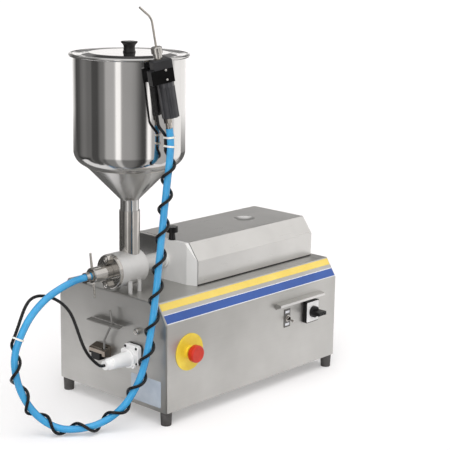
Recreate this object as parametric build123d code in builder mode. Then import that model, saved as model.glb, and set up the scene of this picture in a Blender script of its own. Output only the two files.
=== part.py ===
from build123d import *
import math
import os

# Pastry filling machine: hopper, gear pump, drive hood, hose and hand gun on a folded case.
# Millimetres. -X is the pump end, -Y the operator's side, +Z up from the floor.
os.makedirs("parts", exist_ok=True)

# Case
CASE_LENGTH = 600.0
CASE_WIDTH = 360.0
CASE_SIDE = 205.0
SLOPE_RUN = 30.0
SLOPE_RISE = 45.0
SHEET = 2.0
BEND = 4.0
FOOT_HEIGHT = 32.0
FOOT_RADIUS = 13.5
FOOT_TREAD = 12.0
FOOT_INSET = 14.0
FOOT_STUD = 3.0
BASE_SHEET = 3.0
BASE_FLANGE = 18.0
FIT_GAP = 0.3
STRIPE_THICK = 0.4
YELLOW_START = 3.5
YELLOW_WIDTH = 16.5
BLUE_START = 31.0
BLUE_WIDTH = 19.5

# Hood and pump support
HOOD_WIDTH = 224.0
HOOD_SIDE = 58.0
HOOD_HEIGHT = 98.0
HOOD_SLOPE_RUN = 30.0
HOOD_SETBACK = 169.0
HOOD_LENGTH = 414.0
SEAL_HEIGHT = 3.0
SEAL_WIDTH = 5.0
SEAL_INSET = 1.5
DISH_RADIUS = 28.0
DISH_DEPTH = 6.0
DISH_SETBACK = 450.0
SUPPORT_DEPTH = 11.0
SUPPORT_SHEET = 3.0
SUPPORT_WING = 25.0
SUPPORT_GAP = 2.0
COLLAR_RADIUS = 21.0
COLLAR_OUT = 8.0
COLLAR_IN = 18.0
THUMB_RADIUS = 13.5
THUMB_CAP = 13.0
THUMB_STEM_RADIUS = 8.5
THUMB_STEM = 18.0
THUMB_STUD_RADIUS = 3.0
THUMB_OFFSET = 34.0
THUMB_RIBS = 16

# Pump
PUMP_OFFSET = 10.0
PUMP_RISE = 49.0
PUMP_RADIUS = 40.0
COVER_OUT = 16.0
COVER_THICK = 10.0
COVER_RADIUS = 39.5
BODY_LENGTH = 80.0
BODY_ROUND = 4.0
NECK_RADIUS = 18.0
NECK_SETBACK = 180.0
GEAR_MODULE = 2.6
GEAR_TEETH = 8
GEAR_ADDENDUM = 2.3
GEAR_DEDENDUM = 3.0
GEAR_BACKLASH = 0.8
PRESSURE_ANGLE = math.radians(30)
CHAMBER_GAP = 0.35
CHAMBER_DEPTH = 66.0
SHAFT_RADIUS = 6.0
IDLER_JOURNAL = 5.0
IDLER_SEAT = 6.0
RUN_GAP = 0.06
INLET_RADIUS = 15.0
PORT_RADIUS = 5.0
PORT_DEPTH = 34.0
STUD_RADIUS = 5.0
STUD_CIRCLE = 30.0
NUT_FLATS = 17.0
NUT_HEX = 9.0
NUT_DOME = 7.5
SEAL_RING = 37.0
SEAL_CORD = 1.2
SHAFT_SEAL_RADIUS = 12.0
SHAFT_SEAL_DEPTH = 8.0
LEG_RADIUS = 5.0
LEG_SPREAD = 36.0
LEG_SETBACK = 23.0
LEG_PITCH = 28.0
FEED_RADIUS = 23.5
FEED_TOP = 133.0
FEED_SEAT = 60.0

# Outlet union
UNION_RADIUS = 18.0
UNION_LENGTH = 52.0
UNION_WALL = 10.0
UNION_GAP = 0.5
SPIGOT_RADIUS = 14.0
SPIGOT_BORE = 8.0
TAIL_FLANGE_RADIUS = 13.5
TAIL_FLANGE = 4.0
TAIL_RADIUS = 8.2
TAIL_COLLAR_RADIUS = 11.0
TAIL_COLLAR = 3.0
TAIL_BORE = 4.5
BARB_LENGTH = 22.0
BARB_COUNT = 3
BAR_RADIUS = 3.0
BAR_REACH = 51.0
BAR_SEAT = 10.0
BAR_TILT = 8.0

# Hopper and lid
HOPPER_SETBACK = 49.0
HOPPER_RADIUS = 125.0
HOPPER_SHEET = 2.0
HOPPER_NECK = 21.0
RIM_RISE = 484.0
CONE_TOP_RISE = 250.0
CONE_BOTTOM_RISE = 156.0
SHOULDER_ROUND = 16.0
THROAT_ROUND = 12.0
RIM_BEAD = 3.5
RIM_RADIUS = 134.0
LID_RADIUS = 126.5
LID_SHEET = 1.5
LID_PLATEAU = 106.0
LID_STEP = 6.0
LID_RING = 119.5
LID_RING_DEPTH = 12.0
KNOB_BASE = 17.0
KNOB_WAIST = 12.0
KNOB_TOP = 19.5
KNOB_HEIGHT = 24.0
KNOB_FOOT = 2.4
KNOB_NARROW = 10.0
KNOB_BROAD = 20.0
KNOB_ROUND = 2.0

# Emergency stop, toggle and main switch, measured from the pump end and the case's underside
ESTOP_X = 72.0
ESTOP_Z = 130.0
ESTOP_DISC = 43.0
ESTOP_DISC_THICK = 1.5
ESTOP_COLLAR = 15.0
ESTOP_COLLAR_OUT = 8.0
ESTOP_SHANK = 11.0
ESTOP_PLUNGER = 8.0
ESTOP_CAP = 20.0
ESTOP_CAP_DEPTH = 15.0
ESTOP_TRAVEL_GAP = 6.0
TOGGLE_X = 411.0
TOGGLE_Z = 136.0
TOGGLE_PLATE_WIDTH = 22.0
TOGGLE_PLATE_HEIGHT = 45.0
TOGGLE_BUSH = 6.0
TOGGLE_BUSH_OUT = 8.0
TOGGLE_WALL = 1.0
TOGGLE_LENGTH = 24.0
TOGGLE_TILT = 12.0
SWITCH_X = 497.0
SWITCH_Z = 137.0
SWITCH_WIDTH = 48.0
SWITCH_HEIGHT = 54.0
SWITCH_DEPTH = 10.0
SWITCH_RIM = 2.0
SWITCH_PLATE = 1.2
SWITCH_SHANK = 10.0
KNOB_DISC = 14.0
KNOB_DISC_DEPTH = 8.0
KNOB_BAR = 9.0
KNOB_DEPTH = 31.5
VISOR_X = 369.0
VISOR_WIDTH = 168.0
VISOR_Z = 180.0
VISOR_DEPTH = 16.0
VISOR_LIP = 6.0
VISOR_DROP = 2.5
VISOR_SHEET = 1.5

# Pump end plate: socket, plug, start lever and cap
SOCKET_Y = -80.0
SOCKET_Z = 119.0
SOCKET_SIZE = 46.0
SOCKET_THICK = 11.0
SOCKET_TUBE = 20.0
SOCKET_TUBE_OUT = 6.0
GASKET_THICK = 3.0
PLUG_RADIUS = 18.0
PLUG_END = 13.5
PLUG_LENGTH = 55.0
PLUG_DROP = 6.0
GLAND_RADIUS = 12.5
GLAND_LENGTH = 18.0
CAP_Y = -89.0
CAP_Z = 173.0
CAP_RADIUS = 8.0
CAP_OUT = 9.0
LEVER_OUT = 13.5
LEVER_PIVOT_Y = 8.0
LEVER_PIVOT_Z = 104.0
LEVER_BEND_Y = 8.8
LEVER_BEND_Z = 133.2
LEVER_KNEE_Y = -18.1
LEVER_KNEE_Z = 179.5
LEVER_TIP_Y = -11.4
LEVER_TIP_Z = 209.1
LEVER_ROD = 2.5
LEVER_PIN = 2.0
LEVER_BOSS = 3.75
PADDLE_Y0 = -49.5
PADDLE_LENGTH = 107.0
PADDLE_SLANT = 6.5
PADDLE_WIDTH = 21.0
PADDLE_THICK = 2.0
PADDLE_Z = 173.0
PADDLE_HOLE = 4.0
ROD_WASHER_RADIUS = 5.5
ROD_WASHER = 1.5
COVER_Y0 = 0.5
COVER_WIDTH = 54.0
COVER_DEPTH = 20.0
COVER_Z0 = 91.0
COVER_RISE = 27.0
COVER_FALL = 7.0
COVER_LIFT = 4.0
COVER_ROUND = 5.0
COVER_SHEET = 1.5
LIMIT_Y0 = 22.5
LIMIT_WIDTH = 28.0
LIMIT_Z0 = 80.5
LIMIT_HEIGHT = 18.0
LIMIT_DEPTH = 16.5

# Drive under the hood and controls in the case
MOTOR_RADIUS = 40.0
MOTOR_LENGTH = 180.0
GEARBOX_SETBACK = 216.0
GEARBOX_LENGTH = 84.0
GEARBOX_WIDTH = 92.0
BRACKET_SHEET = 6.0
BRACKET_WIDTH = 120.0
BRACKET_LENGTH = 190.0
COUPLING_RADIUS = 13.0
COUPLING_LENGTH = 30.0
OUTPUT_RADIUS = 9.0
OUTPUT_LENGTH = 10.0
CONTROL_LENGTH = 200.0
CONTROL_WIDTH = 140.0
CONTROL_HEIGHT = 70.0
CONTROL_SETBACK = 330.0

# Hand gun, hung beside the hopper
GUN_BEARING = -108.0
GUN_DISTANCE = 152.0
GUN_RISE = 463.0
GUN_LEAN = 10.4
BLOCK_LEFT = 29.0
BLOCK_RIGHT = 24.0
BLOCK_DEPTH = 32.0
BLOCK_HEIGHT = 51.0
BLOCK_CUT_RUN = 17.0
BLOCK_CUT_DEPTH = 12.0
BLOCK_STEP = 9.0
BLOCK_STEP_RISE = 5.0
BLOCK_BEVEL = 3.0
GUN_TUBE = 7.0
GUN_BORE = 4.5
GUN_NUT_RADIUS = 12.0
GUN_NUT_NECK = 9.8
GUN_NUT_COLLAR = 14.0
GUN_NUT_LENGTH = 23.0
GUN_SPIGOT = 7.0
COLLAR_LENGTH = 10.0
GRIP_COLLAR = 18.5
GRIP_OFFSET = 8.0
GRIP_RADIUS = 19.0
GRIP_LENGTH = 67.0
GRIP_FLUTES = 10
FLUTE_RADIUS = 4.0
GUN_TAIL = 23.0
TAIL_NUT_RADIUS = 10.0
TAIL_NUT = 10.0
NEEDLE_RADIUS = 2.3
NEEDLE_WALL = 0.6
NEEDLE_SHANK = 61.0
NEEDLE_TIP_OUT = 23.0
NEEDLE_TIP_UP = 27.0
BUTTON_RADIUS = 5.0
BUTTON_OUT = 6.0
BUTTON_SEAT = 6.0
BUTTON_TRAVEL = 2.5
BUTTON_RISE = -8.0
CABLE_ENTRY = 24.5
HOOK_WIDTH = 14.0
HOOK_SHEET = 3.0
HOOK_DROP = 10.0
HOOK_RISE = 10.0
HOOK_SLOT = 19.0
HOOK_SEAT = 9.5

# Hose and control cable
HOSE_RADIUS = 8.0
HOSE_BORE = 6.0
CABLE_RADIUS = 3.5
CABLE_STUB = 9.0
WIND_GAP = 0.6
WIND_TURNS = 13.5
WIND_START = 236.0
WIND_END = 46.0
WIND_PHASE = -110.0
WIND_RAMP = 12.0
WIND_TIGHTER = 0.12
WIND_LEAD = 9.0
WIND_TAIL = 14.0
CLAMP_LENGTH = 10.0
CLAMP_THICK = 2.3
TIE_WIDTH = 4.0
TIE_THICK = 1.4
TIE_GAP = 0.5
TIE_SPOTS = (40.0, 20.0)

# Overall layout: the origin is under the middle of the footprint
SWITCH_REACH = SWITCH_DEPTH + SWITCH_PLATE + FIT_GAP + KNOB_DEPTH
TAIL_OUT = UNION_GAP + TAIL_COLLAR + BARB_LENGTH
OVERHANG = COVER_OUT + UNION_GAP + UNION_LENGTH + TAIL_OUT
END_X = (OVERHANG - CASE_LENGTH) / 2
FRONT_Y = (SWITCH_REACH - CASE_WIDTH) / 2
BACK_Y = FRONT_Y + CASE_WIDTH
MID_Y = (FRONT_Y + BACK_Y) / 2
CASE_BOTTOM = FOOT_HEIGHT
SIDE_TOP = CASE_BOTTOM + CASE_SIDE
CASE_TOP = SIDE_TOP + SLOPE_RISE
PUMP_Y = MID_Y - PUMP_OFFSET
PUMP_Z = CASE_TOP + PUMP_RISE
COVER_FRONT = END_X - COVER_OUT
BODY_FRONT = COVER_FRONT + COVER_THICK
BODY_REAR = BODY_FRONT + BODY_LENGTH
HOPPER_X = END_X + HOPPER_SETBACK
UNION_REAR = COVER_FRONT - UNION_GAP
UNION_FRONT = UNION_REAR - UNION_LENGTH
HOOD_X = END_X + HOOD_SETBACK
HOOD_END = HOOD_X + HOOD_LENGTH
HOOD_BOTTOM = CASE_TOP + SEAL_HEIGHT
HOOD_TOP = CASE_TOP + HOOD_HEIGHT
SUPPORT_X = HOOD_X - SUPPORT_GAP - SUPPORT_DEPTH
RIM_Z = PUMP_Z + RIM_RISE
PUMP_AXIS = Axis((END_X, PUMP_Y, PUMP_Z), (1, 0, 0))
HOPPER_AXIS = Axis((HOPPER_X, PUMP_Y, 0), (0, 0, 1))


def roof_outline(width, bottom, side_top, top, run):
    """Draw a box outline with sloped shoulders, centred on the case, in the open sketch."""
    half = width / 2
    with BuildLine() as outline:
        Polyline(
            (MID_Y - half, bottom),
            (MID_Y + half, bottom),
            (MID_Y + half, side_top),
            (MID_Y + half - run, top),
            (MID_Y - half + run, top),
            (MID_Y - half, side_top),
            close=True,
        )
    make_face(outline.line)


def disc_x(x, radius, depth, y=PUMP_Y, z=PUMP_Z, mode=Mode.ADD):
    """Add or cut a cylinder along +X that starts at x, in the open part."""
    with BuildSketch(Plane.YZ.offset(x)) as disc:
        with Locations((y, z)):
            Circle(radius)
    extrude(disc.sketch, amount=depth, mode=mode)


def disc_front(x, z, out, radius, depth, mode=Mode.ADD):
    """Add or cut a cylinder that runs into the case's operator side from out in front of it."""
    with BuildSketch(Plane((x, FRONT_Y - out, z), x_dir=(1, 0, 0), z_dir=(0, 1, 0))) as disc:
        Circle(radius)
    extrude(disc.sketch, amount=depth, mode=mode)


def box_front(x, z, out, width, height, depth, mode=Mode.ADD):
    """Add or cut a box that runs into the case's operator side from out in front of it."""
    with BuildSketch(Plane((x, FRONT_Y - out, z), x_dir=(1, 0, 0), z_dir=(0, 1, 0))) as block:
        Rectangle(width, height)
    extrude(block.sketch, amount=depth, mode=mode)


# Positions of the operator controls and of the end plate's fittings
estop_x = END_X + ESTOP_X
estop_z = CASE_BOTTOM + ESTOP_Z
toggle_x = END_X + TOGGLE_X
toggle_z = CASE_BOTTOM + TOGGLE_Z
switch_x = END_X + SWITCH_X
switch_z = CASE_BOTTOM + SWITCH_Z
socket_y = MID_Y + SOCKET_Y
socket_z = CASE_BOTTOM + SOCKET_Z
cap_y = MID_Y + CAP_Y
cap_z = CASE_BOTTOM + CAP_Z
socket_hole = SOCKET_TUBE - SHEET
cap_shank = CAP_RADIUS / 2

# Case body: one folded and welded sheet, open below, with an inner flange for the base plate
with BuildPart() as case_body:
    with BuildSketch(Plane.YZ.offset(END_X)):
        roof_outline(CASE_WIDTH, CASE_BOTTOM, SIDE_TOP, CASE_TOP, SLOPE_RUN)
    extrude(amount=CASE_LENGTH)
    fillet(case_body.edges().filter_by(lambda e: e.center().Z > CASE_BOTTOM + BEND), BEND)
    offset(amount=-SHEET, openings=case_body.faces().sort_by(Axis.Z)[0])
    with BuildSketch(Plane.XY.offset(CASE_BOTTOM + BASE_SHEET)):
        with Locations((END_X + CASE_LENGTH / 2, MID_Y)):
            RectangleRounded(CASE_LENGTH - 2 * SHEET, CASE_WIDTH - 2 * SHEET, BEND - SHEET)
            Rectangle(
                CASE_LENGTH - 2 * SHEET - 2 * BASE_FLANGE,
                CASE_WIDTH - 2 * SHEET - 2 * BASE_FLANGE,
                mode=Mode.SUBTRACT,
            )
    extrude(amount=SHEET)
    disc_front(estop_x, estop_z, SHEET, ESTOP_SHANK + FIT_GAP, 4 * SHEET, Mode.SUBTRACT)
    disc_front(toggle_x, toggle_z, SHEET, TOGGLE_BUSH + FIT_GAP, 4 * SHEET, Mode.SUBTRACT)
    disc_front(switch_x, switch_z, SHEET, SWITCH_SHANK + FIT_GAP, 4 * SHEET, Mode.SUBTRACT)
    disc_x(END_X - SHEET, socket_hole + FIT_GAP, 4 * SHEET, socket_y, socket_z, Mode.SUBTRACT)
    disc_x(END_X - SHEET, cap_shank + FIT_GAP, 4 * SHEET, cap_y, cap_z, Mode.SUBTRACT)
case_body.part.label = "case_body"
export_step(case_body.part, "parts/case_body.step")

# Base plate, flush with the case's lower edge, and the rubber feet under it
foot_pitch_x = CASE_LENGTH - 2 * FOOT_INSET
foot_pitch_y = CASE_WIDTH - 2 * FOOT_INSET
case_mid_x = END_X + CASE_LENGTH / 2
with BuildPart() as base_plate:
    with BuildSketch(Plane.XY.offset(CASE_BOTTOM)):
        with Locations((case_mid_x, MID_Y)):
            RectangleRounded(
                CASE_LENGTH - 2 * SHEET - 2 * FIT_GAP,
                CASE_WIDTH - 2 * SHEET - 2 * FIT_GAP,
                BEND - SHEET,
            )
            with GridLocations(foot_pitch_x, foot_pitch_y, 2, 2):
                Circle(FOOT_STUD + FIT_GAP, mode=Mode.SUBTRACT)
    extrude(amount=BASE_SHEET)
base_plate.part.label = "base_plate"
export_step(base_plate.part, "parts/base_plate.step")

with BuildPart() as feet:
    with Locations((case_mid_x, MID_Y, 0)):
        with GridLocations(foot_pitch_x, foot_pitch_y, 2, 2):
            Cone(FOOT_TREAD, FOOT_RADIUS, FOOT_HEIGHT, align=(Align.CENTER, Align.CENTER, Align.MIN))
    fillet(feet.edges().group_by(Axis.Z)[0], FOOT_STUD / 2)
    with BuildSketch(Plane.XY.offset(FOOT_HEIGHT)):
        with Locations((case_mid_x, MID_Y)):
            with GridLocations(foot_pitch_x, foot_pitch_y, 2, 2):
                Circle(FOOT_STUD)
    extrude(amount=BASE_SHEET)
feet.part.label = "feet"
export_step(feet.part, "parts/feet.step")

# Stripes on the operator side's slope
slope = Plane(
    (case_mid_x, FRONT_Y + SLOPE_RUN, CASE_TOP),
    x_dir=(1, 0, 0),
    z_dir=(0, -SLOPE_RISE, SLOPE_RUN),
)
stripe_length = CASE_LENGTH - 2 * BEND
with BuildPart() as yellow_stripe:
    with BuildSketch(slope):
        with Locations((0, -YELLOW_START - YELLOW_WIDTH / 2)):
            Rectangle(stripe_length, YELLOW_WIDTH)
    extrude(amount=STRIPE_THICK)
yellow_stripe.part.label = "yellow_stripe"
export_step(yellow_stripe.part, "parts/yellow_stripe.step")

with BuildPart() as blue_stripe:
    with BuildSketch(slope):
        with Locations((0, -BLUE_START - BLUE_WIDTH / 2)):
            Rectangle(stripe_length, BLUE_WIDTH)
    extrude(amount=STRIPE_THICK)
blue_stripe.part.label = "blue_stripe"
export_step(blue_stripe.part, "parts/blue_stripe.step")

# Visor over the switches: sloped roof, front lip and two end gussets
visor_x = END_X + VISOR_X
visor_z = CASE_BOTTOM + VISOR_Z
with BuildPart() as switch_visor:
    with BuildSketch(Plane.YZ.offset(visor_x)):
        with BuildLine():
            Polyline(
                (FRONT_Y, visor_z),
                (FRONT_Y - VISOR_DEPTH, visor_z - VISOR_DROP),
                (FRONT_Y - VISOR_DEPTH, visor_z - VISOR_DROP - VISOR_LIP),
                (FRONT_Y, visor_z - VISOR_DROP - 2 * VISOR_LIP),
                close=True,
            )
        make_face()
    extrude(amount=VISOR_WIDTH)
    with BuildSketch(Plane.YZ.offset(visor_x + VISOR_SHEET)):
        with BuildLine():
            Polyline(
                (FRONT_Y, visor_z - VISOR_SHEET),
                (FRONT_Y - VISOR_DEPTH + VISOR_SHEET, visor_z - VISOR_DROP - VISOR_SHEET),
                (FRONT_Y - VISOR_DEPTH + VISOR_SHEET, visor_z - VISOR_DROP - 2 * VISOR_LIP),
                (FRONT_Y, visor_z - VISOR_DROP - 3 * VISOR_LIP),
                close=True,
            )
        make_face()
    extrude(amount=VISOR_WIDTH - 2 * VISOR_SHEET, mode=Mode.SUBTRACT)
switch_visor.part.label = "switch_visor"
export_step(switch_visor.part, "parts/switch_visor.step")

# Drive hood: a sheet box open below and towards the pump, with a round finger dish in its roof
dish_x = END_X + DISH_SETBACK
dish_sphere = (DISH_RADIUS**2 + DISH_DEPTH**2) / (2 * DISH_DEPTH)
with BuildPart() as hood:
    with BuildSketch(Plane.YZ.offset(HOOD_X)):
        roof_outline(HOOD_WIDTH, HOOD_BOTTOM, CASE_TOP + HOOD_SIDE, HOOD_TOP, HOOD_SLOPE_RUN)
    extrude(amount=HOOD_LENGTH)
    long_edges = hood.edges().filter_by(Axis.X).filter_by(lambda e: e.center().Z > HOOD_BOTTOM + BEND)
    rear_edges = hood.edges().group_by(Axis.X)[-1].filter_by(lambda e: e.center().Z > HOOD_BOTTOM + BEND)
    fillet(long_edges + rear_edges, BEND)
    offset(amount=-SHEET, openings=[hood.faces().sort_by(Axis.Z)[0], hood.faces().sort_by(Axis.X)[0]])
    with BuildSketch(Plane.XY.offset(HOOD_TOP - SHEET)):
        with Locations((dish_x, MID_Y)):
            Circle(DISH_RADIUS)
    extrude(amount=SHEET, mode=Mode.SUBTRACT)
    with BuildSketch(Plane.XZ.offset(-MID_Y)):
        with BuildLine():
            bowl = ThreePointArc(
                (dish_x, HOOD_TOP - DISH_DEPTH),
                (
                    dish_x + dish_sphere * math.sin(0.5 * math.asin(DISH_RADIUS / dish_sphere)),
                    HOOD_TOP - DISH_DEPTH
                    + dish_sphere * (1 - math.cos(0.5 * math.asin(DISH_RADIUS / dish_sphere))),
                ),
                (dish_x + DISH_RADIUS, HOOD_TOP),
            )
            Polyline(
                bowl @ 1,
                (dish_x + DISH_RADIUS, HOOD_TOP - SHEET),
                (dish_x, HOOD_TOP - DISH_DEPTH - SHEET),
                bowl @ 0,
            )
        make_face()
    revolve(axis=Axis((dish_x, MID_Y, 0), (0, 0, 1)))
hood.part.label = "hood"
export_step(hood.part, "parts/hood.step")

# Rubber seal under the hood's three lower edges
with BuildPart() as hood_edge_seal:
    with BuildSketch(Plane.XY.offset(CASE_TOP)):
        with Locations(((HOOD_X + HOOD_END - SEAL_INSET) / 2, MID_Y)):
            Rectangle(HOOD_LENGTH - SEAL_INSET, HOOD_WIDTH - 2 * SEAL_INSET)
        with Locations(((HOOD_X + HOOD_END - SEAL_INSET - SEAL_WIDTH) / 2, MID_Y)):
            Rectangle(
                HOOD_LENGTH - SEAL_INSET - SEAL_WIDTH,
                HOOD_WIDTH - 2 * SEAL_INSET - 2 * SEAL_WIDTH,
                mode=Mode.SUBTRACT,
            )
    extrude(amount=SEAL_HEIGHT)
hood_edge_seal.part.label = "hood_edge_seal"
export_step(hood_edge_seal.part, "parts/hood_edge_seal.step")

# Pump support: a folded panel with swept-back wings, and the collar that holds the pump's neck
thumb_x = SUPPORT_X + SUPPORT_DEPTH / 2
thumb_y = MID_Y - THUMB_OFFSET
support_half = HOOD_WIDTH / 2
with BuildPart() as pump_support:
    with BuildSketch(Plane.YZ.offset(SUPPORT_X)):
        roof_outline(HOOD_WIDTH, CASE_TOP, CASE_TOP + HOOD_SIDE, HOOD_TOP, HOOD_SLOPE_RUN)
    extrude(amount=SUPPORT_DEPTH)
    with BuildSketch(Plane.XY.offset(CASE_TOP)):
        with BuildLine():
            Polyline(
                (SUPPORT_X, MID_Y - support_half + SUPPORT_WING),
                (SUPPORT_X, MID_Y + support_half - SUPPORT_WING),
                (SUPPORT_X + SUPPORT_DEPTH, MID_Y + support_half),
                (SUPPORT_X + SUPPORT_DEPTH, MID_Y - support_half),
                close=True,
            )
        make_face()
    extrude(amount=HOOD_HEIGHT, mode=Mode.INTERSECT)
    offset(
        amount=-SUPPORT_SHEET,
        openings=[pump_support.faces().sort_by(Axis.X)[-1], pump_support.faces().sort_by(Axis.Z)[0]],
    )
    disc_x(SUPPORT_X - COLLAR_OUT, COLLAR_RADIUS, COLLAR_OUT + COLLAR_IN)
    fillet(pump_support.edges().group_by(Axis.X)[0].sort_by(SortBy.LENGTH)[-1], SUPPORT_SHEET / 2)
    disc_x(SUPPORT_X - COLLAR_OUT, NECK_RADIUS + FIT_GAP, COLLAR_OUT + COLLAR_IN, mode=Mode.SUBTRACT)
    with BuildSketch(Plane.XY.offset(HOOD_TOP - 2 * SUPPORT_SHEET)):
        with Locations((thumb_x, thumb_y)):
            Circle(THUMB_STUD_RADIUS + FIT_GAP)
    extrude(amount=3 * SUPPORT_SHEET, mode=Mode.SUBTRACT)
pump_support.part.label = "pump_support"
export_step(pump_support.part, "parts/pump_support.step")

# Thumb screw on the support's top: stem, ribbed cap and stud
with BuildPart() as thumb_screw:
    with BuildSketch(Plane.XY.offset(HOOD_TOP + FIT_GAP)):
        with Locations((thumb_x, thumb_y)):
            Circle(THUMB_STEM_RADIUS)
    extrude(amount=THUMB_STEM, taper=6)
    with BuildSketch(Plane.XY.offset(HOOD_TOP + FIT_GAP + THUMB_STEM)):
        with Locations((thumb_x, thumb_y)):
            Circle(THUMB_RADIUS)
            with PolarLocations(THUMB_RADIUS, THUMB_RIBS):
                Circle(THUMB_RADIUS * math.pi / THUMB_RIBS / 2, mode=Mode.SUBTRACT)
    extrude(amount=THUMB_CAP)
    with BuildSketch(Plane.XY.offset(HOOD_TOP - 2 * SUPPORT_SHEET)):
        with Locations((thumb_x, thumb_y)):
            Circle(THUMB_STUD_RADIUS)
    extrude(amount=2 * SUPPORT_SHEET + FIT_GAP)
thumb_screw.part.label = "thumb_screw"
export_step(thumb_screw.part, "parts/thumb_screw.step")

# Gear pair: involute teeth, drive gear on the pump's axis and idler behind it
pitch_radius = GEAR_MODULE * GEAR_TEETH / 2
tip_radius = pitch_radius + GEAR_ADDENDUM
root_radius = pitch_radius - GEAR_DEDENDUM
tooth_foot = root_radius - GEAR_DEDENDUM / 3
base_radius = pitch_radius * math.cos(PRESSURE_ANGLE)
half_tooth = (math.pi * GEAR_MODULE / 2 - GEAR_BACKLASH / 2) / 2 / pitch_radius
chamber_radius = tip_radius + CHAMBER_GAP
IDLER_Y = PUMP_Y + 2 * pitch_radius
gear_length = CHAMBER_DEPTH - 2 * CHAMBER_GAP
shaft_end = END_X + NECK_SETBACK + 2 * SHAFT_SEAL_DEPTH


def involute(angle):
    """Return the involute function of a pressure angle."""
    return math.tan(angle) - angle


def flank_point(radius, side):
    """Return the point of a tooth's flank at a radius, on side -1 or +1."""
    angle = half_tooth + involute(PRESSURE_ANGLE) - involute(math.acos(base_radius / radius))
    return (radius * math.cos(angle), side * radius * math.sin(angle))


flank_radii = [base_radius + (tip_radius - base_radius) * step / 4 for step in range(5)]
with BuildSketch() as tooth:
    with BuildLine():
        upper = Spline(*[flank_point(r, 1) for r in flank_radii])
        lower = Spline(*[flank_point(r, -1) for r in flank_radii])
        ThreePointArc(upper @ 1, (tip_radius, 0), lower @ 1)
        Polyline(upper @ 0, (tooth_foot, (upper @ 0).Y), (tooth_foot, (lower @ 0).Y), lower @ 0)
    make_face()


def gear_blank(y, turn):
    """Draw a whole gear outline at y on the pump's height, turned by an angle, in the open sketch."""
    with Locations(Location((y, PUMP_Z), turn)):
        Circle(root_radius)
        with PolarLocations(0, GEAR_TEETH):
            add(tooth.sketch)


with BuildPart() as drive_gear:
    with BuildSketch(Plane.YZ.offset(BODY_FRONT + CHAMBER_GAP)):
        gear_blank(PUMP_Y, 0)
    extrude(amount=gear_length)
    disc_x(BODY_FRONT + CHAMBER_GAP + gear_length, SHAFT_RADIUS, shaft_end - BODY_FRONT - CHAMBER_DEPTH)
drive_gear.part.label = "drive_gear"
export_step(drive_gear.part, "parts/drive_gear.step")

with BuildPart() as idler_gear:
    with BuildSketch(Plane.YZ.offset(BODY_FRONT + CHAMBER_GAP)):
        gear_blank(IDLER_Y, 180 / GEAR_TEETH)
    extrude(amount=gear_length)
    disc_x(
        BODY_FRONT - IDLER_SEAT + CHAMBER_GAP,
        IDLER_JOURNAL,
        CHAMBER_DEPTH + 2 * IDLER_SEAT - 2 * CHAMBER_GAP,
        IDLER_Y,
    )
idler_gear.part.label = "idler_gear"
export_step(idler_gear.part, "parts/idler_gear.step")

# Pump body: chamber for the gears, inlet above, outlet groove below, neck with the shaft seal, studs
port_y = (PUMP_Y + IDLER_Y) / 2
port_z = PUMP_Z - pitch_radius
neck_end = END_X + NECK_SETBACK
with BuildPart() as pump_body:
    disc_x(BODY_FRONT, PUMP_RADIUS, BODY_LENGTH)
    fillet(pump_body.edges().sort_by(Axis.X)[-1], BODY_ROUND)
    disc_x(BODY_REAR, NECK_RADIUS, neck_end - BODY_REAR)
    with BuildSketch(Plane.YZ.offset(BODY_FRONT)):
        with Locations((PUMP_Y, PUMP_Z), (IDLER_Y, PUMP_Z)):
            Circle(chamber_radius)
    extrude(amount=CHAMBER_DEPTH, mode=Mode.SUBTRACT)
    disc_x(BODY_FRONT, SHAFT_RADIUS + RUN_GAP, neck_end - BODY_FRONT, mode=Mode.SUBTRACT)
    disc_x(BODY_FRONT, IDLER_JOURNAL + RUN_GAP, CHAMBER_DEPTH + IDLER_SEAT, IDLER_Y, mode=Mode.SUBTRACT)
    disc_x(neck_end - SHAFT_SEAL_DEPTH, SHAFT_SEAL_RADIUS, SHAFT_SEAL_DEPTH, mode=Mode.SUBTRACT)
    disc_x(BODY_FRONT, PORT_RADIUS, PORT_DEPTH, port_y, port_z, Mode.SUBTRACT)
    with BuildSketch(Plane.XY.offset(PUMP_Z)):
        with Locations((HOPPER_X, PUMP_Y)):
            Circle(INLET_RADIUS)
    extrude(amount=PUMP_RADIUS, mode=Mode.SUBTRACT)
    for rise in (STUD_CIRCLE, -STUD_CIRCLE):
        disc_x(COVER_FRONT - NUT_HEX, STUD_RADIUS, COVER_THICK + NUT_HEX, z=PUMP_Z + rise)
pump_body.part.label = "pump_body"
export_step(pump_body.part, "parts/pump_body.step")

with BuildPart() as shaft_seal:
    disc_x(neck_end - SHAFT_SEAL_DEPTH, SHAFT_SEAL_RADIUS, SHAFT_SEAL_DEPTH)
    disc_x(neck_end - SHAFT_SEAL_DEPTH, SHAFT_RADIUS + RUN_GAP, SHAFT_SEAL_DEPTH, mode=Mode.SUBTRACT)
shaft_seal.part.label = "shaft_seal"
export_step(shaft_seal.part, "parts/shaft_seal.step")

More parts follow.
